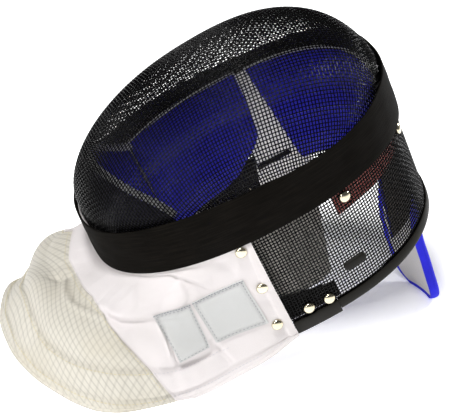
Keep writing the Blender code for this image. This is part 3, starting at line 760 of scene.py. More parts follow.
@dataclass
class NodeShop:
    """Builds each geometry-nodes tree once and runs it on a source mesh."""

    trees: dict[NodeMaker, Tree] = field(default_factory=dict)

    def tree(self, maker: NodeMaker) -> Tree:
        """The maker's tree, built from its plan at its first use.

        Args:
            maker: Which tree.

        Returns:
            The tree, which ends in Realize Instances, Set Shade Smooth and Set Material.
        """
        if maker in self.trees:
            return self.trees[maker]
        plan = maker.value
        tree = self.trees[maker] = bpy.data.node_groups.new(maker.name.lower(), "GeometryNodeTree")
        for label, kind in {"Geometry": "Geometry", **plan.inputs, "Material": "Material"}.items():
            tree.interface.new_socket(label, in_out="INPUT", socket_type=f"NodeSocket{kind}")
        tree.interface.new_socket("Geometry", in_out="OUTPUT", socket_type="NodeSocketGeometry")
        kinds = {"start": "NodeGroupInput", **plan.nodes, "real": "RealizeInstances", "soft": "SetShadeSmooth"}
        kinds |= {"dress": "SetMaterial", "end": "NodeGroupOutput"}
        nodes = {
            label: tree.nodes.new(kind if "Node" in kind else f"GeometryNode{kind}") for label, kind in kinds.items()
        }
        for label, settings in plan.settings.items():
            for key, value in settings.items():
                if key in nodes[label].inputs:
                    nodes[label].inputs[key].default_value = value
                else:
                    setattr(nodes[label], key, value)
        close = ("real.Geometry > soft.Geometry", "soft.Geometry > dress.Geometry", "start.Material > dress.Material")
        for link in (*plan.links, *close, "dress.Geometry > end.Geometry"):
            (source, output), (target, entry) = (side.split(".") for side in link.split(" > "))
            tree.links.new(nodes[source].outputs[output], nodes[target].inputs[entry])
        return tree

    def make(self, name: str, source: Mesh, maker: NodeMaker, **values: object) -> Mesh:
        """Runs a tree on the source mesh, which is removed.

        Args:
            name: Name of the new mesh.
            source: Lines or points that the tree follows.
            maker: Which tree.
            **values: The tree's inputs by name.

        Returns:
            A plain mesh with its material.
        """
        tree = self.tree(maker)
        carrier = add_piece(f"{name}_source", source)
        modifier = carrier.modifiers.new("make", "NODES")
        modifier.node_group = tree
        for item in tree.interface.items_tree:
            if item.in_out == "INPUT" and item.name in values:
                modifier[item.identifier] = values[item.name]
        mesh = evaluated(carrier)
        mesh.name = name
        return mesh


# --- Shader building ---


@dataclass
class Shading:
    """Short ways to add and link shader nodes in one tree."""

    tree: Tree

    def node(self, kind: str, **settings: object) -> Node:
        """Adds a node and sets its plain properties."""
        made = self.tree.nodes.new(f"ShaderNode{kind}")
        for key, value in settings.items():
            setattr(made, key, value)
        return made

    def feed(self, target: Socket, value: Value | Colour) -> None:
        """Links a socket, or sets a number or colour, into the target.

        Args:
            target: The socket to feed.
            value: What feeds it.
        """
        if isinstance(value, Socket):
            self.tree.links.new(value, target)
        elif isinstance(value, tuple) and len(value) == 3 and target.type == "RGBA":
            target.default_value = (*value, 1)
        else:
            target.default_value = value

    def fill(self, node: Node, **inputs: Value | Colour) -> Node:
        """Feeds a node's inputs by name, with underscores for the spaces in their names."""
        for key, value in inputs.items():
            self.feed(node.inputs[key.replace("_", " ")], value)
        return node

    def fed(self, node: Node, *values: Value | Colour, sockets: Sequence[int] = range(9)) -> Node:
        """Feeds a node's inputs in order, or those at the given numbers."""
        for number, value in zip(sockets, values):
            self.feed(node.inputs[number], value)
        return node

    def math(self, operation: str, *values: Value) -> Socket:
        """A Math node on up to three values."""
        return self.fed(self.node("Math", operation=operation), *values).outputs[0]

    def times(self, a: Value, b: Value) -> Socket:
        """The product of two values."""
        return self.math("MULTIPLY", a, b)

    def mix(self, share: Value, low: Value | Colour, high: Value | Colour) -> Socket:
        """A colour mix, with its share going from the low colour to the high one."""
        return self.fed(self.node("Mix", data_type="RGBA"), share, low, high, sockets=(0, 6, 7)).outputs[2]

    def ranged(self, value: Value, low: float, high: float, to_low: float = 0.0, to_high: float = 1.0) -> Socket:
        """A clamped Map Range from low and high to the other two."""
        return self.fed(self.node("MapRange"), value, low, high, to_low, to_high).outputs[0]

    def noise(self, vector: Socket, scale: float, detail: float = 3.0, rough: float = 0.55) -> Socket:
        """A noise value at this many cells a metre."""
        made = self.node("TexNoise")
        return self.fill(made, Vector=vector, Scale=scale, Detail=detail, Roughness=rough).outputs["Fac"]

    def streaks(self, vector: Socket, scale: tuple[float, float, float], detail: float, turn: float = 0.0) -> Socket:
        """A noise value stretched by the scale of each axis, after a turn about Z."""
        return self.noise(self.stretched(vector, scale, turn), 1.0, detail)

    def stretched(self, vector: Socket, scale: tuple[float, float, float], turn: float = 0.0) -> Socket:
        """The vector scaled on each axis, after a turn about Z."""
        return self.fill(self.node("Mapping"), Vector=vector, Scale=scale, Rotation=(0, 0, turn)).outputs[0]

    def split(self, vector: Socket) -> list[Socket]:
        """The vector's X, Y and Z."""
        return list(self.fill(self.node("SeparateXYZ"), Vector=vector).outputs)

    def group(self, name: str, **inputs: Value | Colour) -> dict[str, Socket]:
        """Places a shader group with its values. Gives its outputs by name."""
        made = self.fill(self.node("Group", node_tree=GROUPS[name]), **inputs)
        return {output.name: output for output in made.outputs}


GROUPS: dict[str, Tree] = {}


def shader_group(name: str, inputs: dict[str, str], outputs: Sequence[str]) -> tuple[Shading, dict, dict]:
    """An empty shader group.

    Args:
        name: Name of the group.
        inputs: The kind of each input, Vector or Float.
        outputs: Names of the outputs, which are all values.

    Returns:
        A Shading of it, its input sockets by name and its output sockets by name.
    """
    tree = bpy.data.node_groups.new(name, "ShaderNodeTree")
    for label, kind in inputs.items():
        tree.interface.new_socket(label, in_out="INPUT", socket_type=f"NodeSocket{kind}")
    for label in outputs:
        tree.interface.new_socket(label, in_out="OUTPUT", socket_type="NodeSocketFloat")
    start, end = tree.nodes.new("NodeGroupInput"), tree.nodes.new("NodeGroupOutput")
    GROUPS[name] = tree
    return Shading(tree), {s.name: s for s in start.outputs}, {s.name: s for s in end.inputs}


def build_weave() -> None:
    """Plain weave of crossing threads: its Height, and a mask of the gaps between the threads for painted shade."""
    s, given, out = shader_group("woven_threads", {"Place": "Vector", "Thread": "Float"}, ("Height", "ThreadGapShade"))
    x, y = (s.math("DIVIDE", part, given["Thread"]) for part in s.split(given["Place"])[:2])
    first, second = (s.math("ABSOLUTE", s.math("SINE", s.times(value, math.pi))) for value in (x, y))
    over = s.math("PINGPONG", s.math("ADD", s.math("FLOOR", x), s.math("FLOOR", y)), 1.0)
    s.feed(out["Height"], s.math("MULTIPLY_ADD", over, s.math("SUBTRACT", first, second), second))
    gap = s.math("SUBTRACT", 1.0, s.math("MAXIMUM", first, second))
    s.feed(out["ThreadGapShade"], s.ranged(gap, 0.0, 0.35))


def build_ribs() -> None:
    """Ribs and short slubs of a woven tape, along X and across Y."""
    inputs = {"Place": "Vector", "Pitch": "Float", "Slub": "Float"}
    s, given, out = shader_group("tape_ribs", inputs, ("Height", "Streak"))
    across = s.math("DIVIDE", s.split(given["Place"])[1], given["Pitch"])
    wave = s.math("SINE", s.times(across, 2 * math.pi))
    slubs = s.streaks(given["Place"], (38.0, 900.0, 1.0), 2.0)
    picks = s.streaks(given["Place"], (1400.0, 1400.0, 1.0), 1.0)
    rise = s.math("MULTIPLY_ADD", wave, 0.35, s.times(slubs, given["Slub"]))
    s.feed(out["Height"], s.math("MULTIPLY_ADD", picks, 0.4, rise))
    s.feed(out["Streak"], s.ranged(slubs, 0.42, 0.72))


def build_handling() -> None:
    """Marks of use: large soft Patches, fine Specks and slow Drift, each from 0 to 1."""
    s, given, out = shader_group("handling_marks", {"Place": "Vector"}, ("Patches", "Specks", "Drift"))
    s.feed(out["Patches"], s.ranged(s.noise(given["Place"], 22.0, 4.0), 0.42, 0.68))
    s.feed(out["Specks"], s.ranged(s.noise(given["Place"], 420.0, 2.0), 0.60, 0.78))
    s.feed(out["Drift"], s.noise(given["Place"], 7.0, 2.0))


def build_grid_lines() -> None:
    """Thin conductive threads: strong Lines along X every Pitch, and faint Cross lines."""
    inputs = {"Place": "Vector", "Pitch": "Float", "Width": "Float"}
    s, given, out = shader_group("conductive_lines", inputs, ("Lines", "Cross"))
    sway = s.streaks(given["Place"], (14.0, 14.0, 1.0), 1.0)
    parts = s.split(given["Place"])
    for label, part, spread in (("Lines", parts[1], 1.0), ("Cross", parts[0], 1.3)):
        swayed = s.math("MULTIPLY_ADD", sway, 0.0022, part)
        place = s.math("DIVIDE", swayed, s.times(given["Pitch"], spread))
        near = s.math("ABSOLUTE", s.math("SUBTRACT", s.math("FRACT", place), 0.5))
        wide = s.math("DIVIDE", s.times(near, given["Pitch"]), given["Width"])
        s.feed(out[label], s.ranged(wide, 0.35, 1.0, 1.0, 0.0))


def build_groups() -> None:
    """Builds every shader group once."""
    for build in (build_weave, build_ribs, build_handling, build_grid_lines):
        build()


@dataclass
class Bench(Shading):
    """Where one material is made: its nodes, and its shader to feed."""

    def __post_init__(self) -> None:
        """Finds the shader and the places in the object's own space, in metres."""
        self.shader = self.tree.nodes["Principled BSDF"]
        self.place = self.node("TexCoord").outputs["Object"]

    def cloth_place(self) -> Socket:
        """Places on the flat cloth, in metres."""
        return self.node("UVMap", uv_map="cloth").outputs[0]

    def marks(self) -> dict[str, Socket]:
        """The marks of use on this piece."""
        return self.group("handling_marks", Place=self.place)

    def wear(self, **inputs: Value | Colour) -> None:
        """Feeds the shader's inputs."""
        self.fill(self.shader, **inputs)

    def bump(self, height: Socket, depth: float, strength: float) -> None:
        """Feeds a height into the shader's normal, with its full range worth this depth."""
        self.wear(Normal=self.fill(self.node("Bump"), Strength=strength, Distance=depth, Height=height).outputs[0])


@dataclass(frozen=True)
class Finish:
    """A finish of the mask. Each kind of finish dresses its shader in its own way."""

    name: str
    colour: Colour
    roughness: float = 0.6

    def material(self) -> Material:
        """A new material with this finish."""
        material = bpy.data.materials.new(self.name)
        material.use_nodes = True
        bench = Bench(material.node_tree)
        bench.wear(Base_Color=self.colour, Roughness=self.roughness)
        self.dress(bench)
        return material

    def dress(self, s: Bench) -> None:
        """Dresses the shader.

        Args:
            s: The bench of the new material.
        """

    def shade(self, share: float) -> Colour:
        """The finish's colour at this share of its brightness."""
        return tuple(channel * share for channel in self.colour)

    def rougher(self, s: Bench, share: Socket, more: float) -> Socket:
        """A roughness that grows by this much with the share."""
        return s.ranged(share, 0, 1, self.roughness, self.roughness + more)


@dataclass(frozen=True)
class LacquerFinish(Finish):
    """Black lacquer on wire, with dull rubbed spots and a few thin places."""

    rubbed: Colour = (0.012, 0.012, 0.012)

    def dress(self, s: Bench) -> None:
        """Dresses the lacquered wire."""
        marks = s.marks()
        tone = s.mix(marks["Drift"], self.colour, self.shade(1.9))
        worn = s.times(marks["Patches"], marks["Specks"])
        s.wear(Base_Color=s.mix(worn, tone, self.rubbed), Roughness=self.rougher(s, marks["Patches"], 0.16))
        s.wear(Specular_IOR_Level=0.09)
        s.bump(s.noise(s.place, 1500.0, 2.0), 0.0002, 0.4)


@dataclass(frozen=True)
class TapeFinish(Finish):
    """Ribbed woven tape or webbing with paler slubs along it, which on red webbing also paint highlights."""

    pitch: float = 0.0011
    slub: float = 0.9
    pale: Colour = (0.0085, 0.0070, 0.0052)

    def dress(self, s: Bench) -> None:
        """Dresses the tape."""
        ribs = s.group("tape_ribs", Place=s.cloth_place(), Pitch=self.pitch, Slub=self.slub)
        marks = s.marks()
        tone = s.mix(marks["Drift"], self.shade(0.75), self.shade(1.3))
        s.wear(Base_Color=s.mix(s.times(ribs["Streak"], 0.75), tone, self.pale))
        s.wear(Roughness=self.rougher(s, marks["Patches"], 0.12), Specular_IOR_Level=0.04)
        s.bump(ribs["Height"], 0.00025, 0.8)


@dataclass(frozen=True)
class ClothFinish(Finish):
    """Woven cloth, faintly soiled by handling, plain or with conductive lines, with painted shade in its thread gaps.
    """

    thread: float = 0.00055
    soil: Colour = (0.55, 0.52, 0.45)
    soiling: float = 0.10
    line: Colour = (0.27, 0.25, 0.21)
    line_share: float = 0.0
    line_pitch: float = 0.0052
    line_width: float = 0.0010
    # share of painted shade of soft folds, drawn as long dark streaks
    streaks: float = 0.0

    def dress(self, s: Bench) -> None:
        """Dresses the cloth."""
        place, marks = s.cloth_place(), s.marks()
        weave = s.group("woven_threads", Place=place, Thread=self.thread)
        tone = s.mix(marks["Drift"], self.colour, self.shade(0.95))
        # painted shade: darker in the gaps between the threads
        tone = s.mix(s.times(weave["ThreadGapShade"], 0.35), tone, self.shade(0.72))
        if self.line_share:
            lines = s.group("conductive_lines", Place=place, Pitch=self.line_pitch, Width=self.line_width)
            tone = s.mix(s.times(lines["Cross"], self.line_share * 0.6), tone, self.line)
            tone = s.mix(s.times(lines["Lines"], self.line_share), tone, self.line)
        if self.streaks:
            # painted shade: long dark streaks stand in for the shade of soft folds
            folds = s.streaks(place, (85.0, 6.0, 1.0), 2.0)
            tone = s.mix(s.ranged(folds, 0.36, 0.66, 0.0, self.streaks), tone, self.shade(0.35))
        s.wear(Base_Color=s.mix(s.times(marks["Patches"], self.soiling), tone, self.soil))
        s.wear(Roughness=s.ranged(weave["Height"], 0, 1, self.roughness + 0.1, self.roughness))
        s.wear(Sheen_Weight=0.15, Sheen_Roughness=0.45)
        crumple = s.noise(s.place, 60.0, 3.0)
        s.bump(s.math("MULTIPLY_ADD", crumple, 2.2, weave["Height"]), 0.00022, 0.7)


@dataclass(frozen=True)
class NapFinish(Finish):
    """Brushed knit of the padding, with a short nap that catches the light."""

    nap: Colour = (0.10, 0.11, 0.75)

    def dress(self, s: Bench) -> None:
        """Dresses the padding."""
        fibres = s.noise(s.place, 1900.0, 2.0, 0.7)
        brushed = s.streaks(s.place, (30.0, 30.0, 55.0), 3.0)
        tone = s.mix(s.ranged(brushed, 0.35, 0.7), self.shade(0.82), self.colour)
        tone = s.mix(s.times(s.ranged(fibres, 0.55, 0.8), 0.5), tone, self.nap)
        s.wear(Base_Color=s.mix(s.times(s.marks()["Specks"], 0.25), tone, self.shade(0.5)))
        s.wear(Roughness=s.ranged(fibres, 0.3, 0.8, self.roughness, self.roughness + 0.15))
        s.wear(Sheen_Weight=0.04, Sheen_Roughness=0.35, Specular_IOR_Level=0.3)
        s.bump(s.math("MULTIPLY_ADD", brushed, 1.5, fibres), 0.0003, 0.8)


@dataclass(frozen=True)
class PlasticFinish(Finish):
    """Satin moulded plastic or smooth thread, with a fine grain and dull handling marks."""

    def dress(self, s: Bench) -> None:
        """Dresses the plastic."""
        marks = s.marks()
        tone = s.mix(marks["Drift"], self.shade(0.85), self.shade(1.2))
        s.wear(Base_Color=s.mix(s.times(marks["Specks"], 0.5), tone, self.shade(2.2)))
        s.wear(Roughness=self.rougher(s, marks["Patches"], 0.15), Specular_IOR_Level=0.16)
        s.bump(s.noise(s.place, 1100.0, 2.0), 0.00012, 0.6)


@dataclass(frozen=True)
class NickelFinish(Finish):
    """Plated metal with fine turned scratches and slight tarnish."""

    tarnish: Colour = (0.42, 0.36, 0.24)

    def dress(self, s: Bench) -> None:
        """Dresses the plating."""
        scratches = s.streaks(s.place, (2600.0, 300.0, 900.0), 2.0, 0.7)
        s.wear(Metallic=1.0, Base_Color=s.mix(s.times(s.marks()["Patches"], 0.35), self.colour, self.tarnish))
        s.wear(Roughness=s.ranged(scratches, 0.35, 0.75, self.roughness, self.roughness + 0.18))
        s.bump(scratches, 0.00004, 0.5)


@dataclass(frozen=True)
class FloorFinish(Finish):
    """The studio's pale floor glows by itself like a light table, and faintly in a painted shadow under the mask."""

    # glow kept in the painted shadow under the mask, then that shadow patch's middle and its stretch on each axis
    shadow_patch_glow: float = 0.05
    glow: float = 0.85
    middle: tuple[float, float, float] = (0.10, 0.075, 0.0)
    spread: tuple[float, float, float] = (5.6, 9.0, 1.0)

    def dress(self, s: Bench) -> None:
        """Dresses the floor."""
        tone = s.mix(s.noise(s.place, 3.0), self.colour, self.shade(0.99))
        # painted shadow: the glow fades from full away from the mask to faint in a soft patch under it
        offset = s.fed(s.node("VectorMath", operation="SUBTRACT"), s.place, self.middle)
        away = s.fed(s.node("VectorMath", operation="LENGTH"), s.stretched(offset.outputs[0], self.spread))
        lit = s.ranged(away.outputs["Value"], 0.75, 1.15, self.shadow_patch_glow, 1.0)
        glow = s.mix(lit, (0.0, 0.0, 0.0), (1.0, 1.0, 1.0))
        s.wear(Base_Color=tone, Emission_Color=glow, Emission_Strength=self.glow)


@dataclass(frozen=True)
class Palette:
    """Every finish of the mask."""

    wire: Finish = LacquerFinish("black_lacquer", (0.0010, 0.0009, 0.0010), 0.13)
    band: Finish = TapeFinish("band_tape_weave", (0.0022, 0.0018, 0.0012), 0.70)
    white: Finish = ClothFinish("white_cloth_weave", (0.79, 0.742, 0.737), 0.80)
    panel: Finish = ClothFinish(
        "conductive_cloth_weave", (0.690, 0.655, 0.572), 0.62, soil=(0.54, 0.49, 0.38), soiling=0.35, line_share=0.36
    )
    patch: Finish = ClothFinish("patch_cloth_weave", (0.63, 0.632, 0.622), 0.70, thread=0.0004)
    nickel: Finish = NickelFinish("nickel_plating", (0.68, 0.62, 0.46), 0.14)
    # pale pink slubs of the red webbing: partly real slubs, partly painted highlights
    red: Finish = TapeFinish("red_webbing_weave", (0.92, 0.26, 0.23), 0.70, 0.0016, 0.8, (0.97, 0.56, 0.50))
    black: Finish = TapeFinish("black_webbing_weave", (0.007, 0.006, 0.006), 0.72, 0.0015, 0.8)
    blue: Finish = NapFinish("blue_padding_nap", (0.010, 0.009, 0.42), 0.75, (0.020, 0.020, 0.58))
    tongue_blue: Finish = NapFinish("tongue_padding_nap", (0.022, 0.022, 0.72), 0.85, (0.05, 0.05, 0.86))
    # the pad lining carries painted fold shade in streaks
    lining: Finish = ClothFinish("pad_lining_weave", (0.84, 0.79, 0.73), 0.80, thread=0.0011, soiling=0.1, streaks=0.45)
    # a darker copy of the pad lining: painted shade on the crown pad's wall side, with painted fold shade in streaks
    shadowed_lining: Finish = ClothFinish("shadowed_lining_weave", (0.15, 0.125, 0.105), 0.85, thread=0.0011, streaks=0.3)
    side_lining: Finish = ClothFinish(
        "side_lining_weave", (0.97, 0.94, 0.87), 0.80, thread=0.0009, soiling=0.05
    )
    # near-black navy: the chin pad's navy wall side, darkened further as painted shade
    chin_shade_backing: Finish = ClothFinish("chin_shade_backing_weave", (0.012, 0.010, 0.034), 0.85, thread=0.0009, soiling=0.02)
    piping: Finish = ClothFinish("piping_weave", (0.42, 0.42, 0.43), 0.75, thread=0.0008)
    tongue: Finish = ClothFinish("tongue_lining_weave", (0.66, 0.64, 0.61), 0.80, thread=0.0012, soiling=0.15)
    plastic: Finish = PlasticFinish("trim_plastic_grain", (0.0066, 0.0058, 0.0040), 0.50)
    thread_white: Finish = PlasticFinish("white_thread", (0.60, 0.58, 0.60), 0.60)
    thread_gold: Finish = PlasticFinish("straw_thread", (0.62, 0.55, 0.34), 0.60)
    thread_pale: Finish = PlasticFinish("pale_grey_thread", (0.34, 0.34, 0.36), 0.60)
    thread_grey: Finish = PlasticFinish("grey_thread", (0.22, 0.23, 0.27), 0.60)
    floor: Finish = FloorFinish("studio_floor", (0.93, 0.93, 0.935), 0.70)


@dataclass
class Workshop:
    """What every sub-assembly works with: the forms, the node trees and the materials."""

    mask: MaskForm
    bib: BibForm
    nodes: NodeShop
    palette: Palette = field(default_factory=Palette)
    made: dict[str, Material] = field(default_factory=dict)

    def finish(self, finish: Finish) -> Material:
        """The finish's material, built at its first use."""
        if finish.name not in self.made:
            self.made[finish.name] = finish.material()
        return self.made[finish.name]

    def deliver(
        self, name: str, mesh: Mesh, slot: str, *nodes: str, finish: Finish | None = None
    ) -> Piece:
        """Adds a finished piece to the mask.

        Args:
            name: The piece's name.
            mesh: Its mesh, in place.
            slot: The name of a material slot, which is not used.
            *nodes: The solids that it stands for.
            finish: Its finish, where the mesh has none yet.

        Returns:
            The piece.
        """
        piece = add_piece(name, mesh, self.finish(finish) if finish else None)
        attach(piece, "root")
        if nodes:
            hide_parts(*nodes)
        LOG.info("%s: %d triangles", name, sum(len(face.vertices) - 2 for face in mesh.polygons))
        return piece

    def stitches(
        self, name: str, lines: Sequence[Array], slot: str, finish: Finish, pitch: float, length: float, radius: float
    ) -> None:
        """Adds rows of stitches.

        Args:
            name: The piece's name.
            lines: Lines that the rows follow.
            slot: Passed on to deliver, which does not use it.
            finish: The thread's finish.
            pitch: From one stitch to the next.
            length: Of each stitch.
            radius: Of the thread.
        """
        sizes = {"Pitch": pitch, "Reach": length / 2, "Radius": radius, "Material": self.finish(finish)}
        self.deliver(name, self.nodes.make(name, line_mesh(name, lines), NodeMaker.STITCH, **sizes), slot)


@dataclass
class SubAssembly:
    """A part of the mask that is built in one go."""

    shop: Workshop

    def __post_init__(self) -> None:
        """Takes up the workshop's forms, finishes and tools."""
        self.mask, self.bib, self.palette = self.shop.mask, self.shop.bib, self.shop.palette
        self.make, self.deliver = self.shop.nodes.make, self.shop.deliver


# --- Wire mesh ---


@dataclass
class WireMesh(SubAssembly):
    """Woven wires of the domed face and of the side wall."""

    pitch: float = 0.00310
    side_pitch: float = 0.00295
    radius: float = 0.00055
    wave: float = 0.00040
    sides: int = 6
    skirt: float = 0.025
    under_bib: float = 0.018
    reach: float = 0.22

    def middle(self) -> float:
        """Inset of the middle of the mesh."""
        return (self.mask.wire_outer + self.mask.wire_inner) / 2

    def face_places(self, x: Array, y: Array) -> tuple[Array, Array, Array]:
        """Where the places of a flat net land when it is laid over the dome from its top.

        Args:
            x: Flat distances from the top towards the crown.
            y: Flat distances from the top towards the left.

        Returns:
            The turns, the depths and whether each place is on the face.
        """
        mask = self.mask
        turns = np.linspace(0, 1, 721)[:-1]
        shares = np.linspace(0, 1, 260)
        heights = mask.dome_height * (1 - shares**mask.dome_power) ** (1 / mask.dome_rounding)
        depths = np.concatenate([-heights[:-1], np.linspace(0, self.skirt, 24)])
        points = mask.wall(turns[:, None], depths, self.middle())
        steps = np.linalg.norm(np.diff(points, axis=1), axis=2)
        lengths = np.concatenate([np.zeros((len(turns), 1)), np.cumsum(steps, axis=1)], axis=1)
        even = np.linspace(0, 1, 400)
        table = np.array([np.interp(even * row[-1], row, depths) for row in lengths])
        u, v = mask.oval(turns, np.zeros_like(turns))
        angle = np.unwrap(np.arctan2(-v, u))
        direction = np.arctan2(y, x)
        direction = np.where(direction < angle[0], direction + 2 * math.pi, direction)
        turn = np.interp(direction, np.append(angle, angle[0] + 2 * math.pi), np.append(turns, 1.0))
        index = turn * len(turns)
        low, share = np.floor(index).astype(int) % len(turns), index - np.floor(index)
        high, reach = (low + 1) % len(turns), lengths[:, -1]
        along = np.hypot(x, y) / (reach[low] * (1 - share) + reach[high] * share)
        spot = np.clip(along, 0, 1) * (len(even) - 1)
        near = np.minimum(np.floor(spot).astype(int), len(even) - 2)
        part = spot - near
        below, above = (table[row, near] * (1 - part) + table[row, near + 1] * part for row in (low, high))
        return turn, below * (1 - share) + above * share, along <= 1

    def wires(self, name: str, node: str, turn: Array, depth: Array, inside: Array, flip: int) -> None:
        """Adds tubes along the first axis of a grid of crossings, over and under by turns.

        Args:
            name: Name of the piece.
            node: The solid that it stands for.
            turn: Turns of the crossings.
            depth: Depths of the crossings.
            inside: Whether each crossing is on the mesh.
            flip: 0 or 1, which of the crossings these wires pass over.
        """
        i, j = np.indices(turn.shape)
        points = self.mask.at(turn, depth, self.middle() + self.wave * (1 - 2 * ((i + j + flip) % 2)))
        lines = []
        for column in range(turn.shape[1]):
            kept = np.flatnonzero(inside[:, column])
            runs = np.split(kept, np.flatnonzero(np.diff(kept) > 1) + 1)
            lines += [points[run, column] for run in runs if len(run) > 2]
        sizes = {"Radius": self.radius, "Sides": self.sides, "Material": self.shop.finish(self.palette.wire)}
        mesh = self.make(name, line_mesh(name, lines), NodeMaker.SWEEP, **sizes)
        self.deliver(name, mesh, "wire_mesh", node)

    def build(self) -> None:
        """Weaves the face and the side wall, each of wires that run one way and wires across them."""
        count = int(self.reach / self.pitch)
        flat = (np.arange(-count, count + 1) + 0.5) * self.pitch
        places = self.face_places(*grid(flat, flat))
        self.wires("face_wires_long", "face_mesh", *places, 0)
        self.wires("face_wires_cross", "face_mesh", *(part.T for part in places), 1)
        mask = self.mask
        hidden = mask.turn_of(self.bib.hem_u - self.under_bib)
        turns = np.arange(-hidden, hidden, self.side_pitch / mask.around)
        depths = np.arange(self.skirt + 0.0012, mask.side_depth, self.side_pitch)
        turn, depth = grid(turns, depths)
        places = turn, depth, depth < mask.rear_depth(turn) - 0.0006
        self.wires("side_wires_around", "side_mesh", *places, 0)
        self.wires("side_wires_back", "side_mesh", *(part.T for part in places), 1)


# --- Band and edge trim ---


@dataclass
class Band(SubAssembly):
    """The ribbed tape round the mask, slightly wrinkled where it turns."""

    thickness: float = 0.0020
    crowning: float = 0.0005
    wrinkling: float = 0.00022
    columns: int = 360
    rows: int = 26

    def build(self) -> None:
        """Lofts the tape's section round the mask."""
        mask = self.mask
        turn = (np.arange(self.columns) / self.columns)[:, None]
        share = np.linspace(0, 1, self.rows)
        front = mask.front_edge(turn[:, 0])[:, None]
        width = mask.band_width - front
        depth = front + width * (0.008 + 0.984 * share)
        length = turn * mask.around
        wrinkle = np.sin(190 * length + 130 * depth) * np.sin(57 * length - 210 * depth + 1.1)
        wrinkle += 0.7 * np.sin(95 * length - 160 * depth + 0.4) * np.sin(2 * math.pi * depth / mask.band_width)
        bulge = self.crowning * np.abs(2 * share - 1) ** 6
        outer = bulge + self.wrinkling * wrinkle * np.sin(math.pi * share) ** 0.5
        corner, corner_inset = np.array([(1.0, 0.55), (0.985, 1.0), (0.015, 1.0), (0.0, 0.55)]).T
        depth = np.concatenate([depth, front + corner * width], axis=1)
        inset = np.concatenate([outer, np.tile(corner_inset * self.thickness, (self.columns, 1))], axis=1)
        turn = np.broadcast_to(turn, depth.shape)
        mesh = loft("band_tape", mask.at(turn, depth, inset), True, mask.flat(turn, depth), 50)
        self.fix_seam(mesh)
        self.deliver("band_tape", mesh, "band_tape", "band", finish=self.palette.band)

    def fix_seam(self, mesh: Mesh) -> None:
        """Runs the tape's map on past its full turn, instead of back over the last column.

        Args:
            mesh: The tape's mesh, whose map is changed.
        """
        layer, around = mesh.uv_layers["cloth"].data, self.mask.around
        for face in mesh.polygons:
            places = [layer[k].uv.x for k in face.loop_indices]
            if max(places) - min(places) > around / 2:
                for k in face.loop_indices:
                    if layer[k].uv.x < around / 2:
                        layer[k].uv.x += around


@dataclass
class EdgeTrim(SubAssembly):
    """The plastic channel over the side wall's rear edge, with a deeper sleeve at each end."""

    cover: float = 0.0080
    wall: float = 0.0013
    base: float = 0.0015
    sleeve_base: float = 0.0047
    clearance: float = 0.0003
    sleeve_end_u: float = 0.012
    bend: float = 0.0006

    def channel(self, name: str, first: float, last: float, base: float, count: int) -> Mesh:
        """A rounded U section swept between two turns.

        Args:
            name: Name of the mesh.
            first: The turn that it starts at.
            last: The turn that it ends at.
            base: How far it reaches behind the wall's rear edge.
            count: How many sections it has.

        Returns:
            The closed mesh.
        """
        turn = np.linspace(first, last, count)[:, None]
        out, into = self.mask.wire_outer - self.clearance, self.mask.wire_inner + self.clearance
        wall, lip, bend = self.wall, -self.cover, self.bend
        leg = (
            (self.clearance, 0), (lip, 0.0001), (lip + 0.0001, wall - bend * 0.5), (lip + bend, wall),
            (base - bend * 1.6, wall), (base - bend * 0.5, wall - bend * 0.5), (base, wall - bend * 1.6),
        )
        outer = [(depth, out - away) for depth, away in leg[::-1]]
        outer.insert(3, (-base, out - wall - 0.0002))
        depth, inset = np.array(outer + [(depth, into + away) for depth, away in leg]).T
        return loft(name, self.mask.at(turn, self.mask.rear_depth(turn) + depth, inset), False, None, 35)

    def build(self) -> None:
        """Makes the trim and its two sleeves."""
        mask = self.mask
        joint, hem = mask.turn_of(self.sleeve_end_u), mask.turn_of(self.bib.hem_u - 0.0002)
        gap = self.clearance / mask.around * 1.2
        parts = (
            ("trim_channel", "edge_trim", -joint, joint, self.base, 260),
            ("trim_sleeve_near", "trim_sleeve_left", joint + gap, hem, self.sleeve_base, 30),
            ("trim_sleeve_far", "trim_sleeve_right", -hem, -joint - gap, self.sleeve_base, 30),
        )
        for name, node, first, last, base, count in parts:
            mesh = self.channel(name, first, last, base, count)
            self.deliver(name, mesh, "trim_plastic", node, finish=self.palette.plastic)


# --- Bib ---


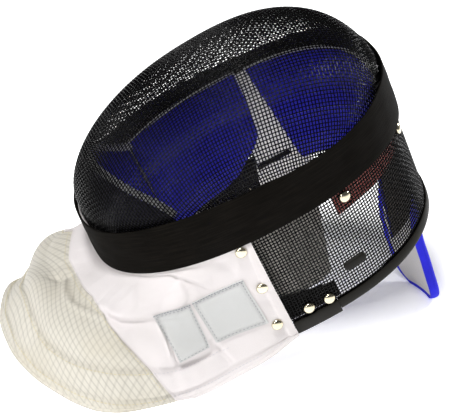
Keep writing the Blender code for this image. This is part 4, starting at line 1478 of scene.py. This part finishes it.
@dataclass
class Bib(SubAssembly):
    """The bib: white cloth at both sides, the conductive panel in front, their binding and stitching."""

    columns: int = 300
    rows: int = 84
    panel_columns: int = 190
    panel_rows: int = 64
    tuck_under: float = 0.030
    binding_radius: float = 0.0016

    def white_cloth(self) -> None:
        """The white cloth, from its tuck under the band to the rim or the panel's seam."""
        form = self.bib
        station = np.linspace(0, 2, self.columns)
        foot, first = form.panel_row(station), form.emerge_row
        shares = np.concatenate([np.linspace(0, first, 7)[:-1], np.linspace(first, 1, self.rows - 6)])
        reach = (foot[:, None] - first) / (1 - first)
        rows = np.where(shares <= first, shares, first + (shares - first) * reach)
        s = np.broadcast_to(station[:, None], rows.shape)
        at_foot = smooth((np.linspace(0, 1, rows.shape[1]) - 0.965) / 0.035) * (foot < 0.999)[:, None]
        turned = smooth((0.034 - np.minimum(s, 2 - s)) / 0.004) * smooth((rows - 0.2) / 0.04)
        lift = 0.0016 * turned + 0.0007 * at_foot
        half = form.thickness / 2
        mesh = shell_on(self.bib, "bib_white_cloth", s, rows, half + lift, -half + 0.3 * lift, 70)
        piece = self.deliver("bib_white_cloth", mesh, "white_cloth", "bib_cloth", finish=self.palette.white)

    def panel_places(self) -> tuple[Array, Array]:
        """Stations and rows of the panel's grid, whose top and sides lie under the white cloth's edge.

        Returns:
            The stations and the rows.
        """
        a, b = np.linspace(-1, 1, self.panel_columns)[:, None], np.linspace(0, 1, self.panel_rows)
        places, rows = (np.array(column) for column in zip(*self.bib.panel_line))
        side, beside = 5, self.tuck_under * 0.35
        row_at_side = rows[side] + (1 - rows[side]) * b
        left = np.interp(-row_at_side, -rows[: side + 1], places[: side + 1]) - beside
        right = np.interp(row_at_side, rows[-side - 1 :], places[-side - 1 :]) + beside
        station = 1 + (np.where(a < 0, left, right) - 1) * np.abs(a)
        corner = np.where(a < 0, places[side], places[-side - 1])
        top = self.bib.panel_row(1 + (corner - 1) * np.abs(a)) - self.tuck_under * 0.5
        return station, top + (1 - top) * b

    def panel(self) -> None:
        """The conductive cloth below the chin."""
        form = self.bib
        station, row = self.panel_places()
        sunk = -0.0012 * smooth((form.panel_row(station) + 0.012 - row) / 0.012)
        half = form.thickness / 2
        mesh = shell_on(self.bib, "bib_conductive_panel", station, row, half + sunk, -half + sunk, 70)
        piece = self.deliver("bib_conductive_panel", mesh, "conductive_cloth", "bib_front", finish=self.palette.panel)

    def line(self, places: Sequence[Place], rise: float, step: float = 0.004) -> Array:
        """A line over the bib through (station, row) places, a step between its points.

        Args:
            places: The places.
            rise: Height over the cloth.
            step: Distance between the line's points.

        Returns:
            (count, 3) points.
        """
        form = self.bib
        knots = np.array(places, float)
        flat = form.flat(knots[:, 0], knots[:, 1])
        lengths = np.concatenate([[0], np.cumsum(np.linalg.norm(np.diff(flat, axis=0), axis=1))])
        even = np.linspace(0, lengths[-1], max(int(lengths[-1] / step), 2))
        station, row = (np.interp(even, lengths, knots[:, k]) for k in (0, 1))
        return form.at(station, row, form.thickness / 2 + rise)

    def binding(self, name: str, first: float, last: float) -> Mesh:
        """A turned binding along the rim.

        Args:
            name: Name of the mesh.
            first: The station that it starts at.
            last: The station that it ends at.

        Returns:
            The closed mesh.
        """
        form, radius = self.bib, self.binding_radius
        station = np.linspace(first, last, int(abs(last - first) * 130))
        centre = form.at(station, np.full_like(station, 0.998), 0.0)
        centre[:, 2] = np.maximum(centre[:, 2], radius + 0.0003)
        around = np.linspace(0, 2 * math.pi, 11)[:-1]
        along = unit(np.gradient(centre, axis=0))
        inward = form.at(station, np.full_like(station, 0.96), 0.0) - centre
        side = unit(inward - (inward * along).sum(axis=1, keepdims=True) * along)
        up = np.cross(along, side)
        wide, high = (wave(around)[None, :, None] * radius for wave in (np.cos, np.sin))
        sections = centre[:, None] + side[:, None] * wide * 1.5 + up[:, None] * high
        sections[..., 2] = np.maximum(sections[..., 2], 0.0003)
        return loft(name, sections, False, np.stack(grid(station * 0.33, around * radius), axis=-1))

    def build(self) -> None:
        """Makes the whole bib."""
        self.white_cloth()
        self.panel()
        palette, edge = self.palette, self.bib.panel_line[0][0]
        for name, slot, finish, spans in (
            ("rim_binding_white", "white_cloth", palette.white, ((0.004, edge), (2 - edge, 1.996))),
            ("rim_binding_panel", "conductive_cloth", palette.panel, ((edge + 0.004, 1.996 - edge),)),
        ):
            mesh = joined(name, [self.binding(name, *span) for span in spans])
            self.deliver(name, mesh, slot, finish=finish)
        seam = []
        for station, row in self.bib.panel_line[1:-1]:
            beside = 0.011 if station < 0.6 else -0.011 if station > 1.4 else 0
            seam.append((station + beside, row + (0.018 if 0.6 < station < 1.4 else 0)))
        for name, slot, finish, pitch, rise, spans in (
            ("bib_seam_stitches", "conductive_cloth", palette.thread_gold, 0.0030, 0.0, [seam]),
            ("bib_white_stitches", "white_cloth", palette.thread_white, 0.0034, 0.0001, [
                [(0.03, 0.957), (0.43, 0.957)], [(1.57, 0.957), (1.97, 0.957)],
                [(0.24, 0.81), (0.46, 0.81)], [(1.54, 0.81), (1.76, 0.81)],
            ]),
            ("bib_panel_stitches", "conductive_cloth", palette.thread_gold, 0.0034, 0.0001, [
                [(0.45, 0.957), (1.55, 0.957)], [(0.47, 0.81), (1.53, 0.81)],
            ]),
        ):
            lines = [self.line(span, rise) for span in spans]
            self.shop.stitches(name, lines, slot, finish, pitch, pitch * 0.72, 0.00030)


@dataclass
class Patches(SubAssembly):
    """Two plain cloth patches sewn on the bib's left side."""

    thickness: float = 0.0008
    lift: float = 0.0009
    corners: tuple = (
        ("patch_rear", ((0.088, 0.388), (0.290, 0.409), (0.262, 0.738), (0.074, 0.725))),
        ("patch_front", ((0.298, 0.410), (0.443, 0.428), (0.385, 0.768), (0.286, 0.742))),
    )

    def places(self, corners: Sequence[Place], count: int, margin: float = 0.0) -> tuple[Array, Array]:
        """A patch's grid, straight on the cloth as it is seen from the side.

        Args:
            corners: (station, row) of its corners.
            count: How many places each way.
            margin: The share of its sides that the grid is drawn in by.

        Returns:
            The stations and the rows.
        """
        shares = np.linspace(margin, 1 - margin, count)
        a, b = (share[..., None] for share in grid(shares, shares))

        def between(points: Array) -> Array:
            """Points between the patch's four corners."""
            top_rear, top_front, foot_front, foot_rear = points
            return (top_rear * (1 - a) + top_front * a) * (1 - b) + (foot_rear * (1 - a) + foot_front * a) * b

        places = np.array(corners)
        guess = between(places)
        return self.bib.under(between(self.bib.middle(*places.T)[:, (0, 2)]), guess[..., 0], guess[..., 1])

    def build(self) -> None:
        """Makes both patches with the stitches round their borders and along their tops."""
        form, palette = self.bib, self.palette
        low = form.thickness / 2 + self.lift
        borders, tops = [], []
        for name, corners in self.corners:
            station, row = self.places(corners, 40)
            edge = np.maximum(*(np.abs(share) for share in grid(*[np.linspace(-1, 1, 40)] * 2)))
            pressed = 0.0010 * smooth((edge - 0.78) / 0.16) - 0.0006 * smooth((edge - 0.93) / 0.07)
            high = low + self.thickness - pressed
            mesh = shell_on(self.bib, f"{name}_cloth", station, row, high, low - 0.0014, 60)
            piece = self.deliver(f"{name}_cloth", mesh, "patch_cloth", name, finish=palette.patch)
            outer = form.at(station, row, high)
            rise = low + self.thickness - 0.0002
            border = [
                np.concatenate([part[:, 0], part[-1, :], part[::-1, -1], part[0, ::-1]])
                for part in self.places(corners, 24, 0.045)
            ]
            borders.append(form.at(*border, rise))
            tops.append(form.at(*(part[:, 0] for part in self.places(corners, 24, 0.012)), rise + 0.0001))
        for name, lines, finish, *sizes in (
            ("patch_border_stitches", borders, palette.thread_pale, 0.0034, 0.0021, 0.00034),
            ("patch_top_stitches", tops, palette.thread_grey, 0.0024, 0.0020, 0.00032),
        ):
            self.shop.stitches(name, lines, "patch_cloth", finish, *sizes)


# --- Rivets, webbing, tabs and keepers ---


@dataclass
class Rivets(SubAssembly):
    """Domed rivet heads on both sides, and their clenched backs inside the wall."""

    radius: float = 0.0051
    height: float = 0.0030
    sides: int = 28
    hem: tuple[Place, ...] = ((0.061, 0.240), (0.036, 0.472), (0.051, 0.756))
    wall: tuple[tuple[str, float, float], ...] = (
        ("tab_a", -0.014, 0.1390),
        ("tab_b", 0.0055, 0.1402),
        ("strap_a", 0.057, 0.0590),
        ("strap_b", 0.1345, 0.0575),
    )

    def turned(self, name: str, profile: Sequence[Place]) -> Piece:
        """A stud turned from (radius, height) places, closed on its axis."""
        around = np.linspace(0, 2 * math.pi, self.sides + 1)[:-1]
        rings = [[(r * math.cos(a), r * math.sin(a), height) for a in around] for r, height in profile]
        return add_piece(name, loft(name, np.array(rings), False, None, 50))

    def seats(self) -> tuple[list[str], Array, Array]:
        """Names, places and outward directions of every rivet, where the mask rests.

        Returns:
            The names, the (count, 3) places and the (count, 3) directions.
        """
        mask, form = self.mask, self.bib
        names, points, facing = [], [], []
        for number, (station, row) in enumerate(self.hem, start=1):
            outer, inner = (
                form.surface(np.array([station]), np.array([row]), rise)[0]
                for rise in (form.thickness / 2 + 0.0008, -form.thickness / 2)
            )
            names.append(f"hem_{number}")
            points.append(outer)
            facing.append(unit(outer - inner))
        for label, u, depth in self.wall:
            spot = mask.turn_of(u), np.array(depth), np.array(mask.wire_outer)
            out = mask.outward(*spot)
            out = out if out[1] < 0 else -out
            names.append(label)
            points.append(mask.wall(*spot) + out * 0.0003)
            facing.append(out)
        every = [f"rivet_{name}_{side}" for side in ("left", "right") for name in names]
        points, facing = (np.concatenate([part, np.array(part) * (1, -1, 1)]) for part in (points, facing))
        return every, mask.place(points), mask.way(facing)

    def build(self) -> None:
        """Sets a head on every seat and a clenched ring behind it."""
        names, points, facing = self.seats()
        r, h = self.radius, self.height
        dome = [(r * math.cos(a), h * (0.16 + 0.84 * math.sin(a))) for a in np.linspace(0.12, 1.45, 8)]
        head = [(r * 0.55, -0.0002), (r * 0.97, -0.0001), (r, h * 0.06), *dome, (r * 0.02, h)]
        back = [(r * 0.30, -0.0006), (r * 0.62, -0.0006), (r * 0.70, -0.0002), (r * 0.62, 0.0002), (r * 0.40, 0.0002)]
        behind = points - facing * np.array([[0.0070 if "hem" in name else 0.0035] for name in names])
        for name, profile, seats, nodes in (("rivet_heads", head, points, names), ("rivet_backs", back, behind, [])):
            model = self.turned(f"{name}_model", profile)
            source = line_mesh(name, seats[:, None])
            attribute = source.attributes.new("facing", "FLOAT_VECTOR", "POINT")
            attribute.data.foreach_set("vector", facing.astype(np.float32).ravel())
            material = self.shop.finish(self.palette.nickel)
            mesh = self.make(name, source, NodeMaker.STUD, Stud=model, Material=material)
            self.deliver(name, mesh, "rivet_metal", *nodes)
            bpy.data.meshes.remove(model.data)


@dataclass
class InnerWebbing(SubAssembly):
    """The red crown strap and the black tabs inside the wall, and the keepers outside it."""

    thickness: float = 0.0014
    strap_end_u: float = 0.046
    strap_width: float = 0.022
    strap_depth: float = 0.0625
    strap_lift: float = 0.008
    tab_from_u: float = -0.037
    tab_to_u: float = 0.017
    tab_from: float = 0.117
    tab_to: float = 0.1445
    tab_slant: float = 0.012
    far_tab_to_u: float = 0.0225
    far_tab_from: float = 0.109
    keeper_u: float = 0.041
    keeper_depth: float = 0.119
    keeper_length: float = 0.022
    keeper_width: float = 0.0085
    keeper_height: float = 0.0036

    def strip(self, name: str, turn: Array, front: Array, rear: Array, over: float = 0.0) -> Mesh:
        """A flat strip of webbing inside the wall, thinner along its selvedges.

        Args:
            name: Name of the mesh.
            turn: Turns along it.
            front: Depths of its front edge.
            rear: Depths of its rear edge.
            over: How thick what it lies over is.

        Returns:
            The closed mesh.
        """
        base = self.mask.liner_outer + over
        across = np.linspace(0, 1, 13)
        depth = front[:, None] + (rear - front)[:, None] * across
        selvedge = 0.0003 * smooth((np.abs(2 * across - 1) - 0.84) / 0.16)
        turn = np.broadcast_to(turn[:, None], depth.shape)
        return shell_on(self.mask, name, turn, depth, base + selvedge, base + self.thickness - selvedge, 50)

    def lining(self) -> Mesh:
        """A pale lining cloth on the far side, between the cheek pad and the crown pad, over the strap's end.

        Returns:
            The closed mesh.
        """
        mask = self.mask
        depth, share = grid(np.linspace(0.0205, 0.1485, 56), np.linspace(0, 1, 40))
        first, last = (
            np.interp(depth, (0.02, 0.115, 0.15), [-mask.turn_of(u) for u in ends])
            for ends in ((0.026, 0.0235, 0.0135), (0.074, 0.078, 0.078))
        )
        turn = first + (last - first) * share
        sag = 0.0002 * np.sin(150 * turn * mask.around + 60 * depth)
        base = mask.liner_outer + 0.0018
        return shell_on(self.mask, "side_lining", turn, depth, base, base + 0.0007 + sag, 50)

    def keeper(self, name: str, side: int) -> Mesh:
        """A low bar with round ends and a softly crowned top.

        Args:
            name: Name of the mesh.
            side: 1 for the near side, -1 for the far side.

        Returns:
            The closed mesh.
        """
        mask, width = self.mask, self.keeper_width
        turn, spot = mask.turn_of(self.keeper_u), (self.keeper_depth, mask.wire_outer)
        seat = mask.wall(turn, *spot)
        along = unit(mask.wall(turn - 0.02, *spot) - mask.wall(turn + 0.02, *spot))
        out = unit(np.cross(along, (0, 0, 1)))
        out = out if out[1] < 0 else -out
        across = np.cross(out, along)
        angles = (np.arange(32) + 0.5) / 32 * 2 * math.pi
        reach = np.sign(np.cos(angles)) * (self.keeper_length - width) / 2
        rings = []
        for height, shrink in ((0, 0.0006), (0.06, 0), (0.55, 0), (0.78, 0.0004), (0.92, 0.0011), (1, 0.0022)):
            radius = width / 2 - shrink
            ring = seat + np.outer(reach + radius * np.cos(angles), along) + np.outer(radius * np.sin(angles), across)
            rings.append(ring + out * (0.0006 + self.keeper_height * height))
        return loft(name, mask.place(np.array(rings) * (1, side, 1)), False, None, 50)

    def build(self) -> None:
        """Makes the strap, the two tabs, the far side's lining with its tape and the two keepers."""
        mask, palette = self.mask, self.palette
        end = mask.turn_of(self.strap_end_u)
        turn = np.linspace(-end, end, 150)
        centre = self.strap_depth - self.strap_lift * np.clip(1 - np.abs(turn) / end, 0, 1)
        half = self.strap_width / 2
        mesh = self.strip("crown_webbing", turn, centre - half, centre + half)
        self.deliver("crown_webbing", mesh, "red_webbing", "crown_strap", finish=palette.red)
        last = mask.turn_of(self.tab_from_u)
        for name, node, sign, to_u, start, slant in (
            ("tab_webbing_near", "strap_tab_left", 1, self.tab_to_u, self.tab_from, self.tab_slant),
            ("tab_webbing_far", "strap_tab_right", -1, self.far_tab_to_u, self.far_tab_from, 0.0),
        ):
            turn = sign * np.linspace(mask.turn_of(to_u), last, 40)
            front = start + slant * (last - np.abs(turn)) / (last - mask.turn_of(to_u))
            mesh = self.strip(name, turn, front, np.full_like(front, self.tab_to))
            self.deliver(name, mesh, "black_webbing", node, finish=palette.black)
        self.deliver("side_lining", self.lining(), "white_cloth", finish=palette.side_lining)
        turn = -np.linspace(mask.turn_of(self.far_tab_to_u), mask.turn_of(0.060), 40)
        rear = 0.1245 - 0.0015 * np.linspace(0, 1, 40)
        mesh = self.strip("side_lining_tape", turn, rear - 0.0052, rear, 0.0028)
        self.deliver("side_lining_tape", mesh, "black_webbing", finish=palette.black)
        for name, node, side in (("keeper_bar_near", "keeper_left", 1), ("keeper_bar_far", "keeper_right", -1)):
            self.deliver(name, self.keeper(name, side), "trim_plastic", node, finish=palette.plastic)


# --- Padding ---


@dataclass(frozen=True)
class PadCut:
    """One pad inside the wall.

    Each end is a pair of turns, at the front and at the rear edge. Each edge is a line of (share of the way
    from the first end to the last, depth).
    """

    name: str
    node: str
    first: tuple[float, float]
    last: tuple[float, float]
    front: tuple[Place, ...]
    rear: tuple[Place, ...]
    outer_inset: float
    thickness: float
    columns: int
    rows: int = 28
    corner: float = 0.035
    piping: float = 0.0014
    backing: str = "lining"


def rounded_line(line: tuple[Place, ...], place: Array) -> Array:
    """Heights of a line of (place, height) points with its corners rounded off.

    Args:
        line: The points.
        place: Where to read the line.

    Returns:
        The heights.
    """
    places, heights = zip(*line)
    first, last = ((heights[k + 1] - heights[k]) / (places[k + 1] - places[k]) for k in (0, len(line) - 2))
    at = place[..., None] + np.linspace(-0.035, 0.035, 9)
    ahead, behind = np.minimum(at, 0) * first, np.maximum(at - 1, 0) * last
    return (np.interp(at, places, heights) + ahead + behind).mean(axis=-1)


@dataclass
class Softener:
    """Swells a closed pad with a cloth simulation, keeps it within its room and rounds it."""

    frames: int = 20
    pressure: float = 4.0
    cap: float = 0.0030
    wall_limit: float = 0.0002
    inner_limit: float = 0.0030

    def swell(self, piece: Piece, outward: Array) -> None:
        """Runs the simulation and moves the piece's own vertices.

        Args:
            piece: The pad, whose mesh is changed. The first half of its vertices lies on the wall's side.
            outward: Direction out of the wall at each vertex.
        """
        scene = bpy.context.scene
        start = read_points(piece.data)
        cloth = piece.modifiers.new("swell", "CLOTH")
        cloth.settings.quality = 5
        cloth.settings.use_pressure = True
        cloth.settings.uniform_pressure_force = self.pressure
        cloth.settings.effector_weights.gravity = 0
        cloth.collision_settings.use_collision = False
        cloth.point_cache.frame_start, cloth.point_cache.frame_end = 1, self.frames
        for number in range(1, self.frames + 1):
            scene.frame_set(number)
        moved = read_points(piece.evaluated_get(bpy.context.evaluated_depsgraph_get()).to_mesh()) - start
        piece.modifiers.remove(cloth)
        scene.frame_set(1)
        far = np.linalg.norm(moved, axis=1, keepdims=True)
        moved *= np.minimum(1, self.cap / np.maximum(far, 1e-9))
        out = (moved * outward).sum(axis=1)
        limit = np.where(np.arange(len(start)) < len(start) // 2, self.wall_limit, self.inner_limit)
        moved -= outward * np.maximum(out - limit, 0)[:, None]
        write_points(piece.data, start + moved)

    def soften(self, name: str, mesh: Mesh, outward: Array) -> Mesh:
        """Args:
            name: The pad's name.
            mesh: Its mesh, which is removed.
            outward: Direction out of the wall at each vertex of its outer face.

        Returns:
            The new mesh.
        """
        piece = add_piece(name, mesh)
        self.swell(piece, np.tile(outward.reshape(-1, 3), (2, 1)))
        modifier = piece.modifiers.new("round", "SUBSURF")
        modifier.levels = modifier.render_levels = 1
        mesh = evaluated(piece)
        mesh.shade_smooth()
        return mesh


@dataclass
class Padding(SubAssembly):
    """Cheek pads, chin pad and crown pad with the piping of their front edges."""

    softener: Softener = field(default_factory=Softener)
    edge_share: float = 0.30
    full_share: float = 0.86

    def cuts(self) -> list[PadCut]:
        """The four pads.

        Returns:
            The cuts, from the near cheek to the crown.
        """
        mask = self.mask
        inset = mask.liner_outer + 0.0026
        chin_end = mask.turn_of(-0.079)
        lap = chin_end + 0.0045
        chin_line = (
            (0.3465, 0.0060), (0.3510, 0.0013), (0.3575, -0.0052), (0.3660, -0.0105), (0.3750, -0.0147),
            (0.3855, -0.0182), (0.3970, -0.0215), (0.4100, -0.0247), (0.4250, -0.0277), (0.4420, -0.0300),
            (0.4690, -0.0315), (0.5075, -0.0300), (0.5400, -0.0275), (0.5710, -0.0245), (0.5920, -0.0120),
            (0.6340, 0.0155), (0.6535, 0.0240),
        )
        return [
            PadCut(
                name="cheek_padding_near", node="cheek_pad_left",
                first=(mask.turn_of(0.044), mask.turn_of(0.020)), last=(lap, lap),
                front=((0, 0.021), (1, 0.021)), rear=((0, 0.124), (0.12, 0.1262), (1, 0.1262)),
                outer_inset=inset, thickness=0.0120, columns=30,
            ),
            PadCut(
                name="cheek_padding_far", node="cheek_pad_right",
                first=(-lap, -lap), last=(-mask.turn_of(0.0435), -mask.turn_of(0.040)),
                front=((0, 0.0165), (1, 0.0165)),
                rear=((0, 0.129), (0.49, 0.125), (0.70, 0.117), (0.80, 0.108), (0.93, 0.098), (1, 0.086)),
                outer_inset=inset, thickness=0.0120, columns=30,
            ),
            PadCut(
                name="chin_padding", node="chin_pad",
                first=(chin_end, chin_end), last=(1 - chin_end, 1 - chin_end),
                front=tuple(((turn - chin_end) / (1 - 2 * chin_end), depth) for turn, depth in chin_line),
                rear=((0, 0.068), (0.75, 0.068), (1, 0.122)),
                outer_inset=mask.liner_outer, thickness=0.0100, columns=66, rows=32,
                # the chin pad's wall side takes the near-black navy backing, partly painted shade
                corner=0.012, piping=0.0034, backing="chin_shade_backing",
            ),
            PadCut(
                name="crown_padding", node="crown_pad", first=(-0.1945, -0.1725), last=(0.116, 0.154),
                front=((0, 0.018), (1, 0.018)),
                rear=((0, 0.133), (0.22, 0.133), (0.42, 0.109), (0.70, 0.109), (0.88, 0.133), (1, 0.133)),
                # the crown pad's wall side takes the darker lining, as painted shade
                outer_inset=inset, thickness=0.0140, columns=50, corner=0.02, backing="shadowed_lining",
            ),
        ]

    def places(self, cut: PadCut) -> tuple[Array, Array, Array]:
        """Turns, depths and fullness of a pad's grid, with its corners rounded off.

        Args:
            cut: The pad.

        Returns:
            Three (columns, rows) grids.
        """
        a, b = grid(np.linspace(-1, 1, cut.columns), np.linspace(-1, 1, cut.rows))
        x = (a * np.sqrt(1 - cut.corner * b**2) + 1) / 2
        y = (b * np.sqrt(1 - cut.corner * 2 * a**2) + 1) / 2
        first, last = (end[0] + (end[1] - end[0]) * y for end in (cut.first, cut.last))
        front, rear = (rounded_line(edge, x) for edge in (cut.front, cut.rear))
        fullness = ((1 - np.abs(a) ** 5) * (1 - np.abs(b) ** 5)) ** 0.5
        return first + (last - first) * x, front + (rear - front) * y, fullness

    def pad(self, cut: PadCut) -> None:
        """Makes one pad, softened, and the piping along its front edge.

        Args:
            cut: The pad.
        """
        mask, palette = self.mask, self.palette
        turn, depth, fullness = self.places(cut)
        thick = cut.thickness * (self.edge_share + (self.full_share - self.edge_share) * fullness)
        close = cut.outer_inset + 0.0004 * (1 - fullness)
        mesh = shell_on(self.mask, cut.name, turn, depth, close, close + thick, 180)
        for finish in (palette.blue, getattr(palette, cut.backing)):
            mesh.materials.append(self.shop.finish(finish))
        for face in mesh.polygons:
            face.material_index = 0 if any(k >= turn.size for k in face.vertices) else 1
        mesh = self.softener.soften(cut.name, mesh, mask.way(mask.outward(turn, depth, close)))
        pad = self.deliver(cut.name, mesh, "blue_padding", cut.node)
        name = cut.name.replace("padding", "piping")
        rim = mask.at(turn[:, 0], depth[:, 0], cut.outer_inset + cut.piping)
        sizes = {"Radius": cut.piping, "Sides": 10, "Material": self.shop.finish(palette.piping)}
        mesh = self.make(name, line_mesh(name, [rim]), NodeMaker.SWEEP, **sizes)
        self.deliver(name, mesh, "blue_padding")

    def build(self) -> None:
        """Makes the four pads, each with its piping."""
        for cut in self.cuts():
            self.pad(cut)


@dataclass
class Tongue(SubAssembly):
    """The rear tongue: a rolled blue pad with a pale lining on its inner face."""

    line: tuple[Place, ...] = (
        (131.8, -116), (128.3, -141), (119.0, -164), (111.3, -189), (107.5, -218), (104.4, -246), (102.0, -273.2),
    )
    half_width: float = 0.035
    thickness: float = 0.0085
    cup: float = 0.0048
    twist: float = 0.16
    tip_round: float = 0.029
    length: float = 0.170
    lining_first: float = 0.27
    lining_last: float = 0.965
    lining_margin: float = 0.0048
    bead: float = 0.0024

    def at(self, share: Array, across: Array, rise: Array, margin: float = 0.0) -> Array:
        """Points of the tongue.

        Args:
            share: Shares of its length from the root.
            across: Places across it, from -1 to 1.
            rise: Heights outside its middle.
            margin: How far the sides are drawn in.

        Returns:
            (..., 3) points where the mask rests.
        """
        share, across, rise = np.broadcast_arrays(share, across, rise)
        knots = np.array([(u, 0.0, w) for u, w in self.line]) / 1000
        last = len(knots) - 1
        place = share * last
        centre = spline(knots, place)
        along = unit(spline(knots, np.minimum(place + 0.05, last)) - spline(knots, np.maximum(place - 0.05, 0)))
        outward = unit(np.cross(np.array((0.0, 1.0, 0.0)), along))
        outward = np.where(outward[..., :1] > 0, outward, -outward)
        left = self.length * (1 - share)
        half = self.half_width * np.minimum(0.86 + share * 0.5, 1.0)
        tip = np.sqrt(np.maximum(1 - (np.maximum(self.tip_round - left, 0) / (self.tip_round * 1.03)) ** 2, 0))
        sideways = (half * tip - margin) * across
        cup = self.cup * (sideways / self.half_width) ** 2
        side = np.array((0.0, 1.0, 0.0)) * sideways[..., None]
        turned = self.twist * smooth(share / 0.7) * sideways
        return self.mask.place(centre + side + outward * (rise - cup - turned)[..., None])

    def flat(self, share: Array, across: Array) -> Array:
        """Places on the tongue laid flat, in metres."""
        return np.stack([across * self.half_width, share * self.length], axis=-1)

    def build(self) -> None:
        """Makes the pad and its lining."""
        share = np.concatenate([np.linspace(0, 0.8, 34), 0.8 + 0.2 * np.sin(np.linspace(0, math.pi / 2, 22))[1:]])
        quarter = math.pi / 2 * 0.94
        s, a = grid(share, np.sin(np.linspace(-1, 1, 25) * quarter) / math.sin(quarter))
        ends = np.clip(np.minimum(s / 0.04, (1 - s) / 0.03), 0, 1)
        roll = np.sqrt(np.clip(1 - np.maximum((np.abs(a) - 0.86) / 0.14, 0) ** 2, 0, 1)) * np.sqrt(0.10 + 0.90 * ends)
        half = self.thickness / 2 * (0.16 + 0.84 * roll)
        from_edge = np.minimum(self.half_width * (1 - np.abs(a)), self.length * (1 - s))
        bead = self.bead * np.exp(-(((from_edge - 0.0045) / 0.0032) ** 2))
        mesh = shell("tongue_padding", self.at(s, a, half), self.at(s, a, -half * 0.72 - bead), self.flat(s, a), 180)
        mesh.materials.append(self.shop.finish(self.palette.tongue_blue))
        out = unit(self.at(s, a, half + 0.001) - self.at(s, a, half))
        mesh = Softener(cap=0.0006, wall_limit=0.0030).soften("tongue_padding", mesh, out)
        points = read_points(mesh)
        points[:, 2] = np.maximum(points[:, 2], 0.0)
        write_points(mesh, points)
        pad = self.deliver("tongue_padding", mesh, "blue_padding", "tongue_pad")
        first, last, low = self.lining_first, self.lining_last, self.thickness / 2
        s, a = grid(np.linspace(first, last, 46), np.linspace(-1, 1, 21))
        settle = 0.0012 * np.maximum(np.abs(a), np.abs(2 * (s - first) / (last - first) - 1)) ** 10
        faces = (self.at(s, a, rise, self.lining_margin) for rise in (-low - 0.0006 + settle, -low + 0.0020))
        mesh = shell("tongue_lining_cloth", *faces, self.flat(s, a), 70)
        piece = self.deliver("tongue_lining_cloth", mesh, "tongue_lining", "tongue_lining", finish=self.palette.tongue)


# --- Studio ---


@dataclass
class Studio(SubAssembly):
    """A pale floor, soft lights and the camera."""

    camera_place: tuple[float, float, float] = (-0.38861, -1.20813, 0.79801)
    camera_turn: tuple[float, float, float] = (61.899, 0.011, -17.863)
    lens: float = 129.739

    def floor(self) -> None:
        """Lays a wide floor under the mask."""
        size = 16.0
        corners = np.array([(-size, -size, 0), (size, -size, 0), (size, size, 0), (-size, size, 0)])
        mesh = bpy.data.meshes.new("studio_floor")
        mesh.from_pydata(corners.tolist(), [], [(0, 1, 2, 3)])
        piece = add_piece("studio_floor", mesh, self.shop.finish(self.palette.floor))

    def light(self, name: str, place: Sequence[float], size: float, power: float, aim: Sequence[float]) -> None:
        """Hangs a square soft light that faces a point.

        Args:
            name: Its name.
            place: Where it hangs.
            size: Its side.
            power: Its power in watts.
            aim: The point.
        """
        data = bpy.data.lights.new(name, "AREA")
        data.size = size
        data.energy = power
        lamp = bpy.data.objects.new(name, data)
        lamp.location = place
        way = np.array(aim) - np.array(place)
        lamp.rotation_mode = "QUATERNION"
        lamp.rotation_quaternion = Vector(way).to_track_quat("-Z", "Y")
        bpy.context.collection.objects.link(lamp)

    def build(self) -> None:
        """Sets up the floor, the lights, the pale surroundings and the camera."""
        self.floor()
        self.light("top_softbox", (-0.6, -0.5, 2.1), 0.42, 43, (0, 0, 0.1))
        self.light("front_softbox", (-1.9, -1.5, 1.3), 0.55, 24, (0, 0, 0.1))
        self.light("crown_softbox", (1.8, 0.5, 1.0), 0.30, 24, (0.05, 0, 0.12))
        world = bpy.data.worlds.new("pale_room")
        world.use_nodes = True
        background = world.node_tree.nodes["Background"]
        background.inputs["Color"].default_value = (0.97, 0.98, 1.0, 1)
        background.inputs["Strength"].default_value = 0.10
        bpy.context.scene.world = world
        data = bpy.data.cameras.new("photo_camera")
        data.lens = self.lens
        data.sensor_width = 36
        camera = bpy.data.objects.new("photo_camera", data)
        camera.location = self.camera_place
        camera.rotation_euler = [math.radians(angle) for angle in self.camera_turn]
        bpy.context.collection.objects.link(camera)
        bpy.context.scene.camera = camera
        bpy.context.scene.view_settings.view_transform = "Standard"


def main() -> None:
    """Builds every sub-assembly in order."""
    logging.basicConfig(level=logging.INFO, format="%(message)s")
    build_groups()
    mask = MaskForm()
    shop = Workshop(mask, BibForm(mask), NodeShop())
    for assembly in (
        Studio(shop),
        WireMesh(shop),
        Band(shop),
        EdgeTrim(shop),
        Bib(shop),
        Patches(shop),
        Rivets(shop),
        InnerWebbing(shop),
        Padding(shop),
        Tongue(shop),
    ):
        LOG.info("-- %s", type(assembly).__name__)
        assembly.build()


if __name__ == "__main__":
    main()
